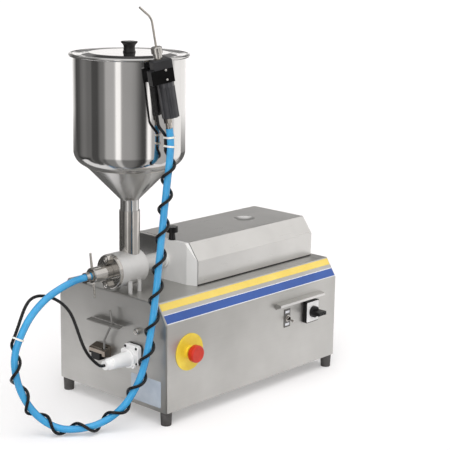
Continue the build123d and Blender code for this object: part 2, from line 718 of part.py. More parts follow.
# Pump cover: disc with the outlet spigot, a port from the groove to the spigot, seal groove, stud holes
spigot_length = UNION_LENGTH + UNION_GAP - UNION_WALL - TAIL_FLANGE - FIT_GAP
port_angle = math.degrees(math.atan2(port_z - PUMP_Z, port_y - PUMP_Y))
with BuildPart() as pump_cover:
    disc_x(COVER_FRONT, COVER_RADIUS, COVER_THICK)
    fillet(pump_cover.edges().sort_by(Axis.X)[0], COVER_THICK / 5)
    disc_x(COVER_FRONT - spigot_length, SPIGOT_RADIUS, spigot_length)
    disc_x(COVER_FRONT - spigot_length, SPIGOT_BORE, spigot_length + COVER_THICK / 2, mode=Mode.SUBTRACT)
    with BuildSketch(Plane.YZ.offset(BODY_FRONT - COVER_THICK / 2)):
        with Locations(Location(((PUMP_Y + port_y) / 2, (PUMP_Z + port_z) / 2), port_angle)):
            SlotCenterToCenter(math.hypot(port_y - PUMP_Y, port_z - PUMP_Z), 2 * PORT_RADIUS)
    extrude(amount=COVER_THICK / 2, mode=Mode.SUBTRACT)
    with BuildSketch(Plane.YZ.offset(BODY_FRONT)):
        with Locations((PUMP_Y, PUMP_Z)):
            Circle(SEAL_RING + SEAL_CORD + RUN_GAP)
            Circle(SEAL_RING - SEAL_CORD - RUN_GAP, mode=Mode.SUBTRACT)
    extrude(amount=-2 * SEAL_CORD - 2 * RUN_GAP, mode=Mode.SUBTRACT)
    disc_x(BODY_FRONT - IDLER_SEAT, IDLER_JOURNAL + RUN_GAP, IDLER_SEAT, IDLER_Y, mode=Mode.SUBTRACT)
    for rise in (STUD_CIRCLE, -STUD_CIRCLE):
        disc_x(COVER_FRONT, STUD_RADIUS + FIT_GAP, COVER_THICK, z=PUMP_Z + rise, mode=Mode.SUBTRACT)
pump_cover.part.label = "pump_cover"
export_step(pump_cover.part, "parts/pump_cover.step")

with BuildPart() as cover_seal:
    with BuildSketch(Plane.XZ.offset(-PUMP_Y)):
        with Locations((BODY_FRONT - SEAL_CORD - RUN_GAP, PUMP_Z + SEAL_RING)):
            Circle(SEAL_CORD)
    revolve(axis=PUMP_AXIS)
cover_seal.part.label = "cover_seal"
export_step(cover_seal.part, "parts/cover_seal.step")

# Cap nuts on the studs: hexagon and dome
with BuildPart() as cap_nuts:
    for rise in (STUD_CIRCLE, -STUD_CIRCLE):
        with BuildSketch(Plane.YZ.offset(COVER_FRONT)):
            with Locations((PUMP_Y, PUMP_Z + rise)):
                RegularPolygon(NUT_FLATS / 2, 6, major_radius=False)
        extrude(amount=-NUT_HEX)
        with Locations((COVER_FRONT - NUT_HEX, PUMP_Y, PUMP_Z + rise)):
            Sphere(NUT_DOME, rotation=(0, -90, 0), arc_size1=0)
        disc_x(COVER_FRONT - NUT_HEX, STUD_RADIUS + RUN_GAP, NUT_HEX, z=PUMP_Z + rise, mode=Mode.SUBTRACT)
cap_nuts.part.label = "cap_nuts"
export_step(cap_nuts.part, "parts/cap_nuts.step")

# Pump legs: four posts from the case's top into the body's flanks
leg_x = BODY_FRONT + LEG_SETBACK + LEG_PITCH / 2
leg_top = PUMP_Z - math.sqrt(PUMP_RADIUS**2 - (LEG_SPREAD - LEG_RADIUS / 2) ** 2)
with BuildPart() as pump_legs:
    with BuildSketch(Plane.XY.offset(CASE_TOP)):
        with Locations((leg_x, PUMP_Y)):
            with GridLocations(LEG_PITCH, 2 * LEG_SPREAD, 2, 2):
                Circle(LEG_RADIUS)
    extrude(amount=leg_top - CASE_TOP)
    disc_x(BODY_FRONT, PUMP_RADIUS, BODY_LENGTH, mode=Mode.SUBTRACT)
pump_legs.part.label = "pump_legs"
export_step(pump_legs.part, "parts/pump_legs.step")

# Feed sleeve: welded on the pump body, with a seat for the hopper's neck
feed_top = PUMP_Z + FEED_TOP
feed_seat = feed_top - FEED_SEAT
with BuildPart() as feed_sleeve:
    with BuildSketch(Plane.XY.offset(PUMP_Z)):
        with Locations((HOPPER_X, PUMP_Y)):
            Circle(FEED_RADIUS)
            Circle(HOPPER_NECK - HOPPER_SHEET, mode=Mode.SUBTRACT)
    extrude(amount=FEED_TOP)
    with BuildSketch(Plane.XY.offset(feed_seat)):
        with Locations((HOPPER_X, PUMP_Y)):
            Circle(HOPPER_NECK + FIT_GAP / 2)
    extrude(amount=FEED_SEAT, mode=Mode.SUBTRACT)
    disc_x(BODY_FRONT, PUMP_RADIUS, 2 * BODY_LENGTH, mode=Mode.SUBTRACT)
feed_sleeve.part.label = "feed_sleeve"
export_step(feed_sleeve.part, "parts/feed_sleeve.step")

# Outlet union nut with two tommy bars, turning on the spigot
bar_x = UNION_FRONT + UNION_WALL / 2
bar_turns = (BAR_TILT, BAR_TILT + 180)


def bar_plane(turn, radius):
    """Return the plane across a tommy bar at a radius from the pump's axis."""
    lean = math.radians(turn)
    out = Vector(0, math.sin(lean), math.cos(lean))
    return Plane(Vector(bar_x, PUMP_Y, PUMP_Z) + out * radius, x_dir=(1, 0, 0), z_dir=out)


with BuildPart() as outlet_nut:
    disc_x(UNION_FRONT, UNION_RADIUS, UNION_LENGTH)
    chamfer(outlet_nut.edges().sort_by(Axis.X)[0], UNION_WALL / 5)
    disc_x(UNION_FRONT + UNION_WALL, SPIGOT_RADIUS + FIT_GAP, UNION_LENGTH - UNION_WALL, mode=Mode.SUBTRACT)
    disc_x(UNION_FRONT, TAIL_RADIUS + FIT_GAP, UNION_WALL, mode=Mode.SUBTRACT)
    for turn in bar_turns:
        with BuildSketch(bar_plane(turn, BAR_SEAT)):
            Circle(BAR_RADIUS + RUN_GAP)
        extrude(amount=UNION_RADIUS, mode=Mode.SUBTRACT)
outlet_nut.part.label = "outlet_nut"
export_step(outlet_nut.part, "parts/outlet_nut.step")

with BuildPart() as tommy_bars:
    for turn in bar_turns:
        with BuildSketch(bar_plane(turn, BAR_SEAT)):
            Circle(BAR_RADIUS)
        extrude(amount=BAR_REACH - BAR_SEAT, taper=0.8)
tommy_bars.part.label = "tommy_bars"
export_step(tommy_bars.part, "parts/tommy_bars.step")

# Hose tail: flange held by the union nut, collar and barbs inside the hose
tail_seat = COVER_FRONT - spigot_length - TAIL_FLANGE
hose_face = UNION_FRONT - UNION_GAP - TAIL_COLLAR
barb_pitch = BARB_LENGTH / BARB_COUNT
with BuildPart() as hose_tail:
    disc_x(tail_seat, TAIL_FLANGE_RADIUS, TAIL_FLANGE)
    disc_x(hose_face, TAIL_RADIUS, tail_seat - hose_face)
    disc_x(hose_face, TAIL_COLLAR_RADIUS, TAIL_COLLAR)
    for barb in range(BARB_COUNT):
        with BuildSketch(Plane.YZ.offset(hose_face - barb * barb_pitch)):
            with Locations((PUMP_Y, PUMP_Z)):
                Circle(HOSE_BORE - FIT_GAP)
        extrude(amount=-barb_pitch, taper=4)
    tail_length = BARB_LENGTH + tail_seat + TAIL_FLANGE - hose_face
    disc_x(hose_face - BARB_LENGTH, TAIL_BORE, tail_length, mode=Mode.SUBTRACT)
hose_tail.part.label = "hose_tail"
export_step(hose_tail.part, "parts/hose_tail.step")

# Hopper: rolled rim, straight wall, cone and neck of one sheet
hopper_plane = Plane((HOPPER_X, PUMP_Y, 0), x_dir=(1, 0, 0), z_dir=(0, -1, 0))
with BuildPart() as hopper:
    with BuildSketch(hopper_plane):
        with BuildLine():
            FilletPolyline(
                (HOPPER_NECK, feed_seat),
                (HOPPER_NECK, PUMP_Z + CONE_BOTTOM_RISE),
                (HOPPER_RADIUS, PUMP_Z + CONE_TOP_RISE),
                (HOPPER_RADIUS, RIM_Z),
                radius=[THROAT_ROUND, SHOULDER_ROUND],
            )
            offset(amount=HOPPER_SHEET, side=Side.LEFT)
        make_face()
        with Locations(((HOPPER_RADIUS + RIM_RADIUS - RIM_BEAD) / 2, RIM_Z - HOPPER_SHEET / 2)):
            Rectangle(RIM_RADIUS - RIM_BEAD - HOPPER_RADIUS, HOPPER_SHEET)
        with Locations((RIM_RADIUS - RIM_BEAD, RIM_Z - RIM_BEAD)):
            Circle(RIM_BEAD)
    revolve(axis=HOPPER_AXIS)
hopper.part.label = "hopper"
export_step(hopper.part, "parts/hopper.step")

# Lid: raised plate, flange on the rim and a locating ring inside it
lid_top = RIM_Z + LID_SHEET + LID_STEP
lid_slope_end = LID_RADIUS - LID_STEP / 2
lid_ring_height = LID_RING_DEPTH + 1.5 * LID_SHEET
with BuildPart() as lid:
    with BuildSketch(hopper_plane):
        with BuildLine():
            Polyline(
                (0, lid_top),
                (LID_PLATEAU, lid_top),
                (lid_slope_end, RIM_Z + LID_SHEET),
                (LID_RADIUS, RIM_Z + LID_SHEET),
                (LID_RADIUS, RIM_Z),
                (lid_slope_end, RIM_Z),
                (LID_PLATEAU, lid_top - LID_SHEET),
                (0, lid_top - LID_SHEET),
                close=True,
            )
        make_face()
        with Locations((LID_RING, RIM_Z - LID_RING_DEPTH + lid_ring_height / 2)):
            Rectangle(LID_SHEET, lid_ring_height)
    revolve(axis=HOPPER_AXIS)
    fillet(lid.edges().group_by(Axis.Z)[-1], LID_STEP / 2)
lid.part.label = "lid"
export_step(lid.part, "parts/lid.step")

# Lid knob: waisted turning
with BuildPart() as lid_knob:
    with BuildSketch(hopper_plane):
        with BuildLine():
            waist = ThreePointArc(
                (KNOB_BASE - KNOB_ROUND, lid_top + KNOB_FOOT + KNOB_ROUND),
                (KNOB_WAIST, lid_top + KNOB_NARROW),
                (KNOB_TOP, lid_top + KNOB_BROAD),
            )
            Polyline(
                waist @ 0,
                (KNOB_BASE, lid_top + KNOB_FOOT),
                (KNOB_BASE, lid_top),
                (0, lid_top),
                (0, lid_top + KNOB_HEIGHT),
                (KNOB_TOP - KNOB_ROUND, lid_top + KNOB_HEIGHT),
                waist @ 1,
            )
        make_face()
    revolve(axis=HOPPER_AXIS)
lid_knob.part.label = "lid_knob"
export_step(lid_knob.part, "parts/lid_knob.step")

# Emergency stop: disc, body with its contact block, plunger and mushroom button
with BuildPart() as estop_disc:
    disc_front(estop_x, estop_z, ESTOP_DISC_THICK, ESTOP_DISC, ESTOP_DISC_THICK)
    disc_front(estop_x, estop_z, ESTOP_DISC_THICK, ESTOP_SHANK + FIT_GAP, ESTOP_DISC_THICK, Mode.SUBTRACT)
estop_disc.part.label = "estop_disc"
export_step(estop_disc.part, "parts/estop_disc.step")

estop_inside = 2 * ESTOP_COLLAR
with BuildPart() as estop_body:
    disc_front(estop_x, estop_z, ESTOP_COLLAR_OUT, ESTOP_COLLAR, ESTOP_COLLAR_OUT - ESTOP_DISC_THICK)
    disc_front(estop_x, estop_z, ESTOP_DISC_THICK, ESTOP_SHANK, ESTOP_DISC_THICK + SHEET + ESTOP_SHANK)
    box_front(estop_x, estop_z, -SHEET - FIT_GAP, estop_inside, estop_inside, estop_inside)
    plunger_hole = ESTOP_PLUNGER + FIT_GAP
    disc_front(
        estop_x, estop_z, ESTOP_COLLAR_OUT, plunger_hole, ESTOP_COLLAR_OUT + estop_inside, Mode.SUBTRACT
    )
estop_body.part.label = "estop_body"
export_step(estop_body.part, "parts/estop_body.step")

cap_back = ESTOP_COLLAR_OUT + ESTOP_TRAVEL_GAP
with BuildPart() as estop_plunger:
    disc_front(estop_x, estop_z, cap_back, ESTOP_PLUNGER, cap_back + estop_inside / 2)
estop_plunger.part.label = "estop_plunger"
export_step(estop_plunger.part, "parts/estop_plunger.step")

with BuildPart() as estop_button:
    disc_front(estop_x, estop_z, cap_back + ESTOP_CAP_DEPTH, ESTOP_CAP, ESTOP_CAP_DEPTH)
    fillet(estop_button.edges().sort_by(Axis.Y)[0], ESTOP_CAP_DEPTH / 4)
    fillet(estop_button.edges().sort_by(Axis.Y)[-1], ESTOP_CAP_DEPTH / 6)
estop_button.part.label = "estop_button"
export_step(estop_button.part, "parts/estop_button.step")

# Toggle switch: legend plate, body with its bush, bat lever
with BuildPart() as toggle_plate:
    box_front(toggle_x, toggle_z, SWITCH_PLATE, TOGGLE_PLATE_WIDTH, TOGGLE_PLATE_HEIGHT, SWITCH_PLATE)
    disc_front(toggle_x, toggle_z, SWITCH_PLATE, TOGGLE_BUSH + FIT_GAP, SWITCH_PLATE, Mode.SUBTRACT)
toggle_plate.part.label = "toggle_plate"
export_step(toggle_plate.part, "parts/toggle_plate.step")

with BuildPart() as toggle_body:
    disc_front(toggle_x, toggle_z, TOGGLE_BUSH_OUT, TOGGLE_BUSH, TOGGLE_BUSH_OUT + 2 * SHEET)
    with BuildSketch(Plane((toggle_x, FRONT_Y - SWITCH_PLATE, toggle_z), x_dir=(1, 0, 0), z_dir=(0, -1, 0))):
        RegularPolygon(TOGGLE_BUSH + 3 * SHEET / 2, 6)
    extrude(amount=SHEET)
    box_front(toggle_x, toggle_z, -SHEET - FIT_GAP, 3 * TOGGLE_BUSH, 5 * TOGGLE_BUSH, 4 * TOGGLE_BUSH)
    toggle_bore = TOGGLE_BUSH - TOGGLE_WALL
    disc_front(toggle_x, toggle_z, TOGGLE_BUSH_OUT, toggle_bore, TOGGLE_BUSH_OUT + SHEET, Mode.SUBTRACT)
toggle_body.part.label = "toggle_body"
export_step(toggle_body.part, "parts/toggle_body.step")

toggle_lean = math.radians(TOGGLE_TILT)
toggle_out = Vector(0, -math.cos(toggle_lean), -math.sin(toggle_lean))
toggle_pivot = Vector(toggle_x, FRONT_Y + SHEET / 2, toggle_z)
with BuildPart() as toggle_lever:
    with BuildSketch(Plane(toggle_pivot, x_dir=(1, 0, 0), z_dir=toggle_out)):
        Circle(TOGGLE_BUSH / 4)
    extrude(amount=TOGGLE_LENGTH, taper=-3)
    fillet(toggle_lever.edges().sort_by(Axis.Y)[0], TOGGLE_BUSH / 8)
toggle_lever.part.label = "toggle_lever"
export_step(toggle_lever.part, "parts/toggle_lever.step")

# Main switch: base, plate and turning knob
with BuildPart() as main_switch_base:
    box_front(switch_x, switch_z, SWITCH_DEPTH, SWITCH_WIDTH, SWITCH_HEIGHT, SWITCH_DEPTH)
    fillet(main_switch_base.edges().filter_by(Axis.Y), 1.5 * SWITCH_RIM)
    disc_front(switch_x, switch_z, 0, SWITCH_SHANK, 4 * SWITCH_SHANK)
    disc_front(switch_x, switch_z, SWITCH_DEPTH, SWITCH_SHANK / 2 + FIT_GAP, SWITCH_DEPTH, Mode.SUBTRACT)
main_switch_base.part.label = "main_switch_base"
export_step(main_switch_base.part, "parts/main_switch_base.step")

plate_out = SWITCH_DEPTH + SWITCH_PLATE
with BuildPart() as main_switch_plate:
    plate_width = SWITCH_WIDTH - 2 * SWITCH_RIM
    plate_height = SWITCH_HEIGHT - 2 * SWITCH_RIM
    box_front(switch_x, switch_z, plate_out, plate_width, plate_height, SWITCH_PLATE)
    fillet(main_switch_plate.edges().filter_by(Axis.Y), SWITCH_RIM)
    disc_front(switch_x, switch_z, plate_out, SWITCH_SHANK / 2 + FIT_GAP, SWITCH_PLATE, Mode.SUBTRACT)
main_switch_plate.part.label = "main_switch_plate"
export_step(main_switch_plate.part, "parts/main_switch_plate.step")

knob_back = plate_out + FIT_GAP
with BuildPart() as main_switch_knob:
    disc_front(switch_x, switch_z, knob_back + KNOB_DISC_DEPTH, KNOB_DISC, KNOB_DISC_DEPTH)
    bar_depth = KNOB_DEPTH - KNOB_DISC_DEPTH
    box_front(switch_x, switch_z, knob_back + KNOB_DEPTH, 2 * KNOB_DISC, KNOB_BAR, bar_depth)
    fillet(main_switch_knob.edges().group_by(Axis.Y)[0], KNOB_BAR / 5)
    disc_front(switch_x, switch_z, knob_back, SWITCH_SHANK / 2, SWITCH_DEPTH)
main_switch_knob.part.label = "main_switch_knob"
export_step(main_switch_knob.part, "parts/main_switch_knob.step")

# Control socket on the pump end: gasket, flange with its tube, and the plug in it
flange_out = GASKET_THICK + SOCKET_THICK
with BuildPart() as socket_gasket:
    with BuildSketch(Plane.YZ.offset(END_X - GASKET_THICK)):
        with Locations((socket_y, socket_z)):
            RectangleRounded(SOCKET_SIZE + SHEET, SOCKET_SIZE + SHEET, SOCKET_SIZE / 6)
            Circle(socket_hole + FIT_GAP, mode=Mode.SUBTRACT)
    extrude(amount=GASKET_THICK)
socket_gasket.part.label = "socket_gasket"
export_step(socket_gasket.part, "parts/socket_gasket.step")

plug_face = END_X - flange_out - SOCKET_TUBE_OUT
plug_z = socket_z - PLUG_DROP
with BuildPart() as panel_socket:
    with BuildSketch(Plane.YZ.offset(END_X - flange_out)):
        with Locations((socket_y, socket_z)):
            RectangleRounded(SOCKET_SIZE, SOCKET_SIZE, SOCKET_SIZE / 6)
    extrude(amount=SOCKET_THICK)
    fillet(panel_socket.edges().group_by(Axis.X)[0], SOCKET_THICK / 6)
    disc_x(plug_face, SOCKET_TUBE, SOCKET_TUBE_OUT + SOCKET_THICK / 2, socket_y, plug_z)
    disc_x(END_X - GASKET_THICK, socket_hole, GASKET_THICK + SOCKET_TUBE, socket_y, socket_z)
panel_socket.part.label = "panel_socket"
export_step(panel_socket.part, "parts/panel_socket.step")

gland_face = plug_face - PLUG_LENGTH
cable_face = gland_face - GLAND_LENGTH
with BuildPart() as plug:
    for x, radius in ((gland_face, PLUG_END), (plug_face, PLUG_RADIUS)):
        with BuildSketch(Plane.YZ.offset(x)):
            with Locations((socket_y, plug_z)):
                Circle(radius)
    loft()
    fillet(plug.edges().sort_by(Axis.X)[0], PLUG_END / 6)
    with BuildSketch(Plane.YZ.offset(gland_face)):
        with Locations((socket_y, plug_z)):
            RegularPolygon(GLAND_RADIUS, 12)
    extrude(amount=-GLAND_LENGTH / 2)
    with BuildSketch(Plane.YZ.offset(gland_face - GLAND_LENGTH / 2)):
        with Locations((socket_y, plug_z)):
            Circle(GLAND_RADIUS - 2 * FIT_GAP)
    extrude(amount=-GLAND_LENGTH / 2, taper=8)
plug.part.label = "plug"
export_step(plug.part, "parts/plug.step")

# Blanking cap on the pump end
with BuildPart() as end_cap:
    disc_x(END_X - CAP_OUT, CAP_RADIUS, CAP_OUT, cap_y, cap_z)
    fillet(end_cap.edges().sort_by(Axis.X)[0], CAP_RADIUS / 2)
    disc_x(END_X, cap_shank, 4 * SHEET, cap_y, cap_z)
end_cap.part.label = "end_cap"
export_step(end_cap.part, "parts/end_cap.step")

# Start lever: folded cover, limit switch, bent rod on a pin, and paddle
lever_x = END_X - LEVER_OUT
pivot_y = MID_Y + LEVER_PIVOT_Y
pivot_z = CASE_BOTTOM + LEVER_PIVOT_Z
cover_near = MID_Y + COVER_Y0
cover_far = cover_near + COVER_WIDTH
cover_z = CASE_BOTTOM + COVER_Z0
cover_top = cover_z + COVER_RISE
limit_y = MID_Y + LIMIT_Y0 + LIMIT_WIDTH / 2
limit_z = CASE_BOTTOM + LIMIT_Z0 + LIMIT_HEIGHT / 2
slot_width = 4 * LEVER_ROD
with BuildPart() as lever_cover:
    with BuildSketch(Plane.XZ.offset(-cover_far)):
        with BuildLine():
            Polyline(
                (END_X, cover_z),
                (END_X, cover_top),
                (END_X - COVER_DEPTH, cover_top - COVER_FALL),
                (END_X - COVER_DEPTH, cover_z + COVER_LIFT),
                close=True,
            )
        make_face()
    extrude(amount=COVER_WIDTH)
    roof_edges = lever_cover.faces().sort_by(Axis.Z)[-1].edges()
    fillet(roof_edges.sort_by(Axis.X)[:-1], COVER_ROUND)
    offset(
        amount=-COVER_SHEET,
        openings=[lever_cover.faces().sort_by(Axis.Z)[0], lever_cover.faces().sort_by(Axis.X)[-1]],
    )
    with BuildSketch(Plane.XY.offset(cover_top - COVER_FALL - 3 * COVER_SHEET)):
        with Locations((lever_x, pivot_y)):
            Rectangle(slot_width, slot_width)
    extrude(amount=COVER_RISE, mode=Mode.SUBTRACT)
    with BuildSketch(Plane.YZ.offset(END_X - COVER_DEPTH)):
        with Locations((limit_y - COVER_ROUND, cover_z)):
            Rectangle(LIMIT_WIDTH + 3 * COVER_ROUND, LIMIT_HEIGHT)
    extrude(amount=2 * COVER_SHEET, mode=Mode.SUBTRACT)
    with BuildSketch(Plane((lever_x, cover_near + COVER_SHEET / 2, pivot_z), z_dir=(0, 1, 0))):
        Circle(LEVER_PIN)
    extrude(amount=COVER_WIDTH - COVER_SHEET)
lever_cover.part.label = "lever_cover"
export_step(lever_cover.part, "parts/lever_cover.step")

with BuildPart() as limit_switch:
    with BuildSketch(Plane.YZ.offset(END_X)):
        with Locations((limit_y, limit_z)):
            Rectangle(LIMIT_WIDTH, LIMIT_HEIGHT)
    extrude(amount=-LIMIT_DEPTH)
    fillet(limit_switch.edges().filter_by(Axis.X), COVER_SHEET)
limit_switch.part.label = "limit_switch"
export_step(limit_switch.part, "parts/limit_switch.step")

bend_y = MID_Y + LEVER_BEND_Y
bend_z = CASE_BOTTOM + LEVER_BEND_Z
knee_y = MID_Y + LEVER_KNEE_Y
knee_z = CASE_BOTTOM + LEVER_KNEE_Z
paddle_z = CASE_BOTTOM + PADDLE_Z
paddle_y = bend_y + (knee_y - bend_y) * (paddle_z + PADDLE_THICK / 2 - bend_z) / (knee_z - bend_z)
rod_plane = Plane((lever_x, 0, 0), x_dir=(0, 1, 0), z_dir=(1, 0, 0))
with BuildPart() as start_rod:
    with BuildLine(rod_plane) as rod_path:
        FilletPolyline(
            (pivot_y, pivot_z),
            (bend_y, bend_z),
            (knee_y, knee_z),
            (MID_Y + LEVER_TIP_Y, CASE_BOTTOM + LEVER_TIP_Z),
            radius=4 * LEVER_ROD,
        )
    with BuildSketch(Plane(rod_path.line @ 0, z_dir=rod_path.line % 0)):
        Circle(LEVER_ROD)
    sweep()
    with BuildSketch(Plane((lever_x, pivot_y, pivot_z), z_dir=(0, 1, 0))):
        Circle(LEVER_BOSS)
    extrude(amount=2 * LEVER_ROD, both=True)
    with BuildSketch(Plane((lever_x, pivot_y, pivot_z), z_dir=(0, 1, 0))):
        Circle(LEVER_PIN + RUN_GAP)
    extrude(amount=2 * LEVER_ROD, both=True, mode=Mode.SUBTRACT)
    for washer_z in (paddle_z - ROD_WASHER, paddle_z + PADDLE_THICK):
        with BuildSketch(Plane.XY.offset(washer_z)):
            with Locations((lever_x, paddle_y)):
                Circle(ROD_WASHER_RADIUS)
        extrude(amount=ROD_WASHER)
start_rod.part.label = "start_rod"
export_step(start_rod.part, "parts/start_rod.step")

paddle_near = MID_Y + PADDLE_Y0
paddle_far = paddle_near + PADDLE_LENGTH
with BuildPart() as start_paddle:
    with BuildSketch(Plane.XY.offset(paddle_z)):
        with BuildLine():
            Polyline(
                (lever_x - PADDLE_WIDTH / 2, paddle_near),
                (lever_x + PADDLE_WIDTH / 2, paddle_near + PADDLE_SLANT),
                (lever_x + PADDLE_WIDTH / 2, paddle_far + PADDLE_SLANT),
                (lever_x - PADDLE_WIDTH / 2, paddle_far),
                close=True,
            )
        make_face()
        with Locations((lever_x, paddle_y)):
            Circle(PADDLE_HOLE, mode=Mode.SUBTRACT)
        with Locations((lever_x, paddle_near + PADDLE_WIDTH / 2)):
            Circle(LEVER_ROD, mode=Mode.SUBTRACT)
    extrude(amount=PADDLE_THICK)
start_paddle.part.label = "start_paddle"
export_step(start_paddle.part, "parts/start_paddle.step")

# Drive under the hood: bracket, gearbox with its output seat, motor, and the shaft coupling
gearbox_x = END_X + GEARBOX_SETBACK
gearbox_half = PUMP_RISE - BRACKET_SHEET
with BuildPart() as motor_bracket:
    with BuildSketch(Plane.XY.offset(CASE_TOP)):
        with Locations((gearbox_x + BRACKET_LENGTH / 2, PUMP_Y)):
            RectangleRounded(BRACKET_LENGTH, BRACKET_WIDTH, BRACKET_SHEET)
    extrude(amount=BRACKET_SHEET)
motor_bracket.part.label = "motor_bracket"
export_step(motor_bracket.part, "parts/motor_bracket.step")

with BuildPart() as gearbox:
    with BuildSketch(Plane.YZ.offset(gearbox_x)):
        with Locations((PUMP_Y, PUMP_Z)):
            RectangleRounded(GEARBOX_WIDTH, 2 * gearbox_half, GEARBOX_WIDTH / 8)
    extrude(amount=GEARBOX_LENGTH)
    disc_x(gearbox_x, OUTPUT_RADIUS + RUN_GAP, OUTPUT_LENGTH + FIT_GAP, mode=Mode.SUBTRACT)
gearbox.part.label = "gearbox"
export_step(gearbox.part, "parts/gearbox.step")

with BuildPart() as motor:
    disc_x(gearbox_x + GEARBOX_LENGTH, MOTOR_RADIUS, MOTOR_LENGTH)
    fillet(motor.edges().sort_by(Axis.X)[-1], MOTOR_RADIUS / 5)
motor.part.label = "motor"
export_step(motor.part, "parts/motor.step")

coupling_x = gearbox_x - SHEET - COUPLING_LENGTH
with BuildPart() as drive_coupling:
    disc_x(coupling_x, COUPLING_RADIUS, COUPLING_LENGTH)
    disc_x(coupling_x + COUPLING_LENGTH, OUTPUT_RADIUS, SHEET + OUTPUT_LENGTH)
    disc_x(coupling_x, SHAFT_RADIUS + RUN_GAP, shaft_end - coupling_x + FIT_GAP, mode=Mode.SUBTRACT)
drive_coupling.part.label = "drive_coupling"
export_step(drive_coupling.part, "parts/drive_coupling.step")

# Control box on the base plate, inside the case
with BuildPart() as control_box:
    with BuildSketch(Plane.XY.offset(CASE_BOTTOM + BASE_SHEET)):
        with Locations((END_X + CONTROL_SETBACK, MID_Y)):
            RectangleRounded(CONTROL_LENGTH, CONTROL_WIDTH, BEND)
    extrude(amount=CONTROL_HEIGHT)
control_box.part.label = "control_box"
export_step(control_box.part, "parts/control_box.step")

# Hand gun: its own plane leans along the hopper's wall, +Y of that plane points at the hopper
bearing = math.radians(GUN_BEARING)
lean = math.radians(GUN_LEAN)
gun_out = Vector(math.cos(bearing), math.sin(bearing), 0)
gun_along = Vector(-math.sin(bearing), math.cos(bearing), 0)
upward = Vector(0, 0, 1)
gun_origin = Vector(HOPPER_X, PUMP_Y, PUMP_Z + GUN_RISE) + gun_out * GUN_DISTANCE
gun_plane = Plane(
    gun_origin,
    x_dir=gun_along * math.cos(lean) + upward * math.sin(lean),
    z_dir=upward * math.cos(lean) - gun_along * math.sin(lean),
)
hook_plane = Plane(gun_origin, x_dir=gun_along, z_dir=upward)
block_bottom = -BLOCK_HEIGHT / 2
block_top = BLOCK_HEIGHT / 2
grip_top = block_bottom - COLLAR_LENGTH
grip_bottom = grip_top - GRIP_LENGTH
tail_end = grip_bottom - GUN_TAIL
button_plane = Plane(
    gun_plane.from_local_coords(Vector(BLOCK_RIGHT, 0, BUTTON_RISE)),
    x_dir=gun_plane.y_dir,
    z_dir=gun_plane.x_dir,
)
slot_depth = HOOK_SHEET + 2 * FIT_GAP


def block_outline(left):
    """Draw the block's outline with the corner cut away beside the hopper, in the open sketch."""
    with BuildLine() as outline:
        Polyline(
            (-left, -BLOCK_DEPTH / 2),
            (BLOCK_RIGHT, -BLOCK_DEPTH / 2),
            (BLOCK_RIGHT, BLOCK_DEPTH / 2),
            (BLOCK_CUT_RUN - left, BLOCK_DEPTH / 2),
            (-left, BLOCK_DEPTH / 2 - BLOCK_CUT_DEPTH),
            close=True,
        )
    make_face(outline.line)


with BuildPart() as gun_block:
    with BuildSketch(gun_plane.offset(block_bottom)):
        block_outline(BLOCK_LEFT)
    extrude(amount=BLOCK_STEP_RISE - block_bottom)
    with BuildSketch(gun_plane.offset(BLOCK_STEP_RISE)):
        block_outline(BLOCK_LEFT - BLOCK_STEP)
    extrude(amount=block_top - BLOCK_STEP_RISE)
    chamfer(gun_block.edges().group_by(Axis(gun_origin, gun_plane.z_dir))[-1], BLOCK_BEVEL)
    with BuildSketch(gun_plane.offset(block_bottom)):
        Circle(GUN_TUBE + FIT_GAP)
    extrude(amount=BLOCK_HEIGHT, mode=Mode.SUBTRACT)
    with BuildSketch(gun_plane.offset(block_bottom)):
        with Locations((0, HOOK_SEAT + slot_depth / 2)):
            Rectangle(HOOK_SLOT, slot_depth)
    extrude(amount=-block_bottom, mode=Mode.SUBTRACT)
    with BuildSketch(gun_plane.offset(block_bottom)):
        with Locations((0, HOOK_SEAT + BLOCK_DEPTH / 2)):
            Rectangle(HOOK_SLOT, BLOCK_DEPTH)
    extrude(amount=-block_bottom - HOOK_DROP / 2, mode=Mode.SUBTRACT)
    with BuildSketch(button_plane):
        Circle(BUTTON_RADIUS + FIT_GAP)
    extrude(amount=-BUTTON_SEAT - BUTTON_TRAVEL - FIT_GAP, mode=Mode.SUBTRACT)
gun_block.part.label = "gun_block"
export_step(gun_block.part, "parts/gun_block.step")

with BuildPart() as gun_button:
    with BuildSketch(button_plane.offset(-BUTTON_SEAT)):
        Circle(BUTTON_RADIUS)
    extrude(amount=BUTTON_SEAT + BUTTON_OUT)
    fillet(gun_button.edges().sort_by(Axis(gun_origin, gun_plane.x_dir))[-1], BUTTON_RADIUS / 4)
gun_button.part.label = "gun_button"
export_step(gun_button.part, "parts/gun_button.step")

# Fluted grip below the block, set off from the tube, with a plain collar notched for the hook
with BuildPart() as gun_grip:
    with BuildSketch(gun_plane.offset(grip_bottom)):
        with Locations((GRIP_OFFSET, 0)):
            Circle(GRIP_RADIUS)
            with PolarLocations(GRIP_RADIUS + FLUTE_RADIUS / 2, GRIP_FLUTES, start_angle=180 / GRIP_FLUTES):
                Circle(FLUTE_RADIUS, mode=Mode.SUBTRACT)
    extrude(amount=GRIP_LENGTH)
    with BuildSketch(gun_plane.offset(grip_top)):
        with Locations((GRIP_OFFSET, 0)):
            Circle(GRIP_COLLAR)
    extrude(amount=COLLAR_LENGTH)
    with BuildSketch(gun_plane.offset(grip_top)):
        with Locations((0, HOOK_SEAT + GRIP_RADIUS / 2)):
            Rectangle(HOOK_SLOT, GRIP_RADIUS)
    extrude(amount=COLLAR_LENGTH, mode=Mode.SUBTRACT)
    with BuildSketch(gun_plane.offset(grip_bottom)):
        Circle(GUN_TUBE + FIT_GAP)
    extrude(amount=COLLAR_LENGTH + GRIP_LENGTH, mode=Mode.SUBTRACT)
gun_grip.part.label = "gun_grip"
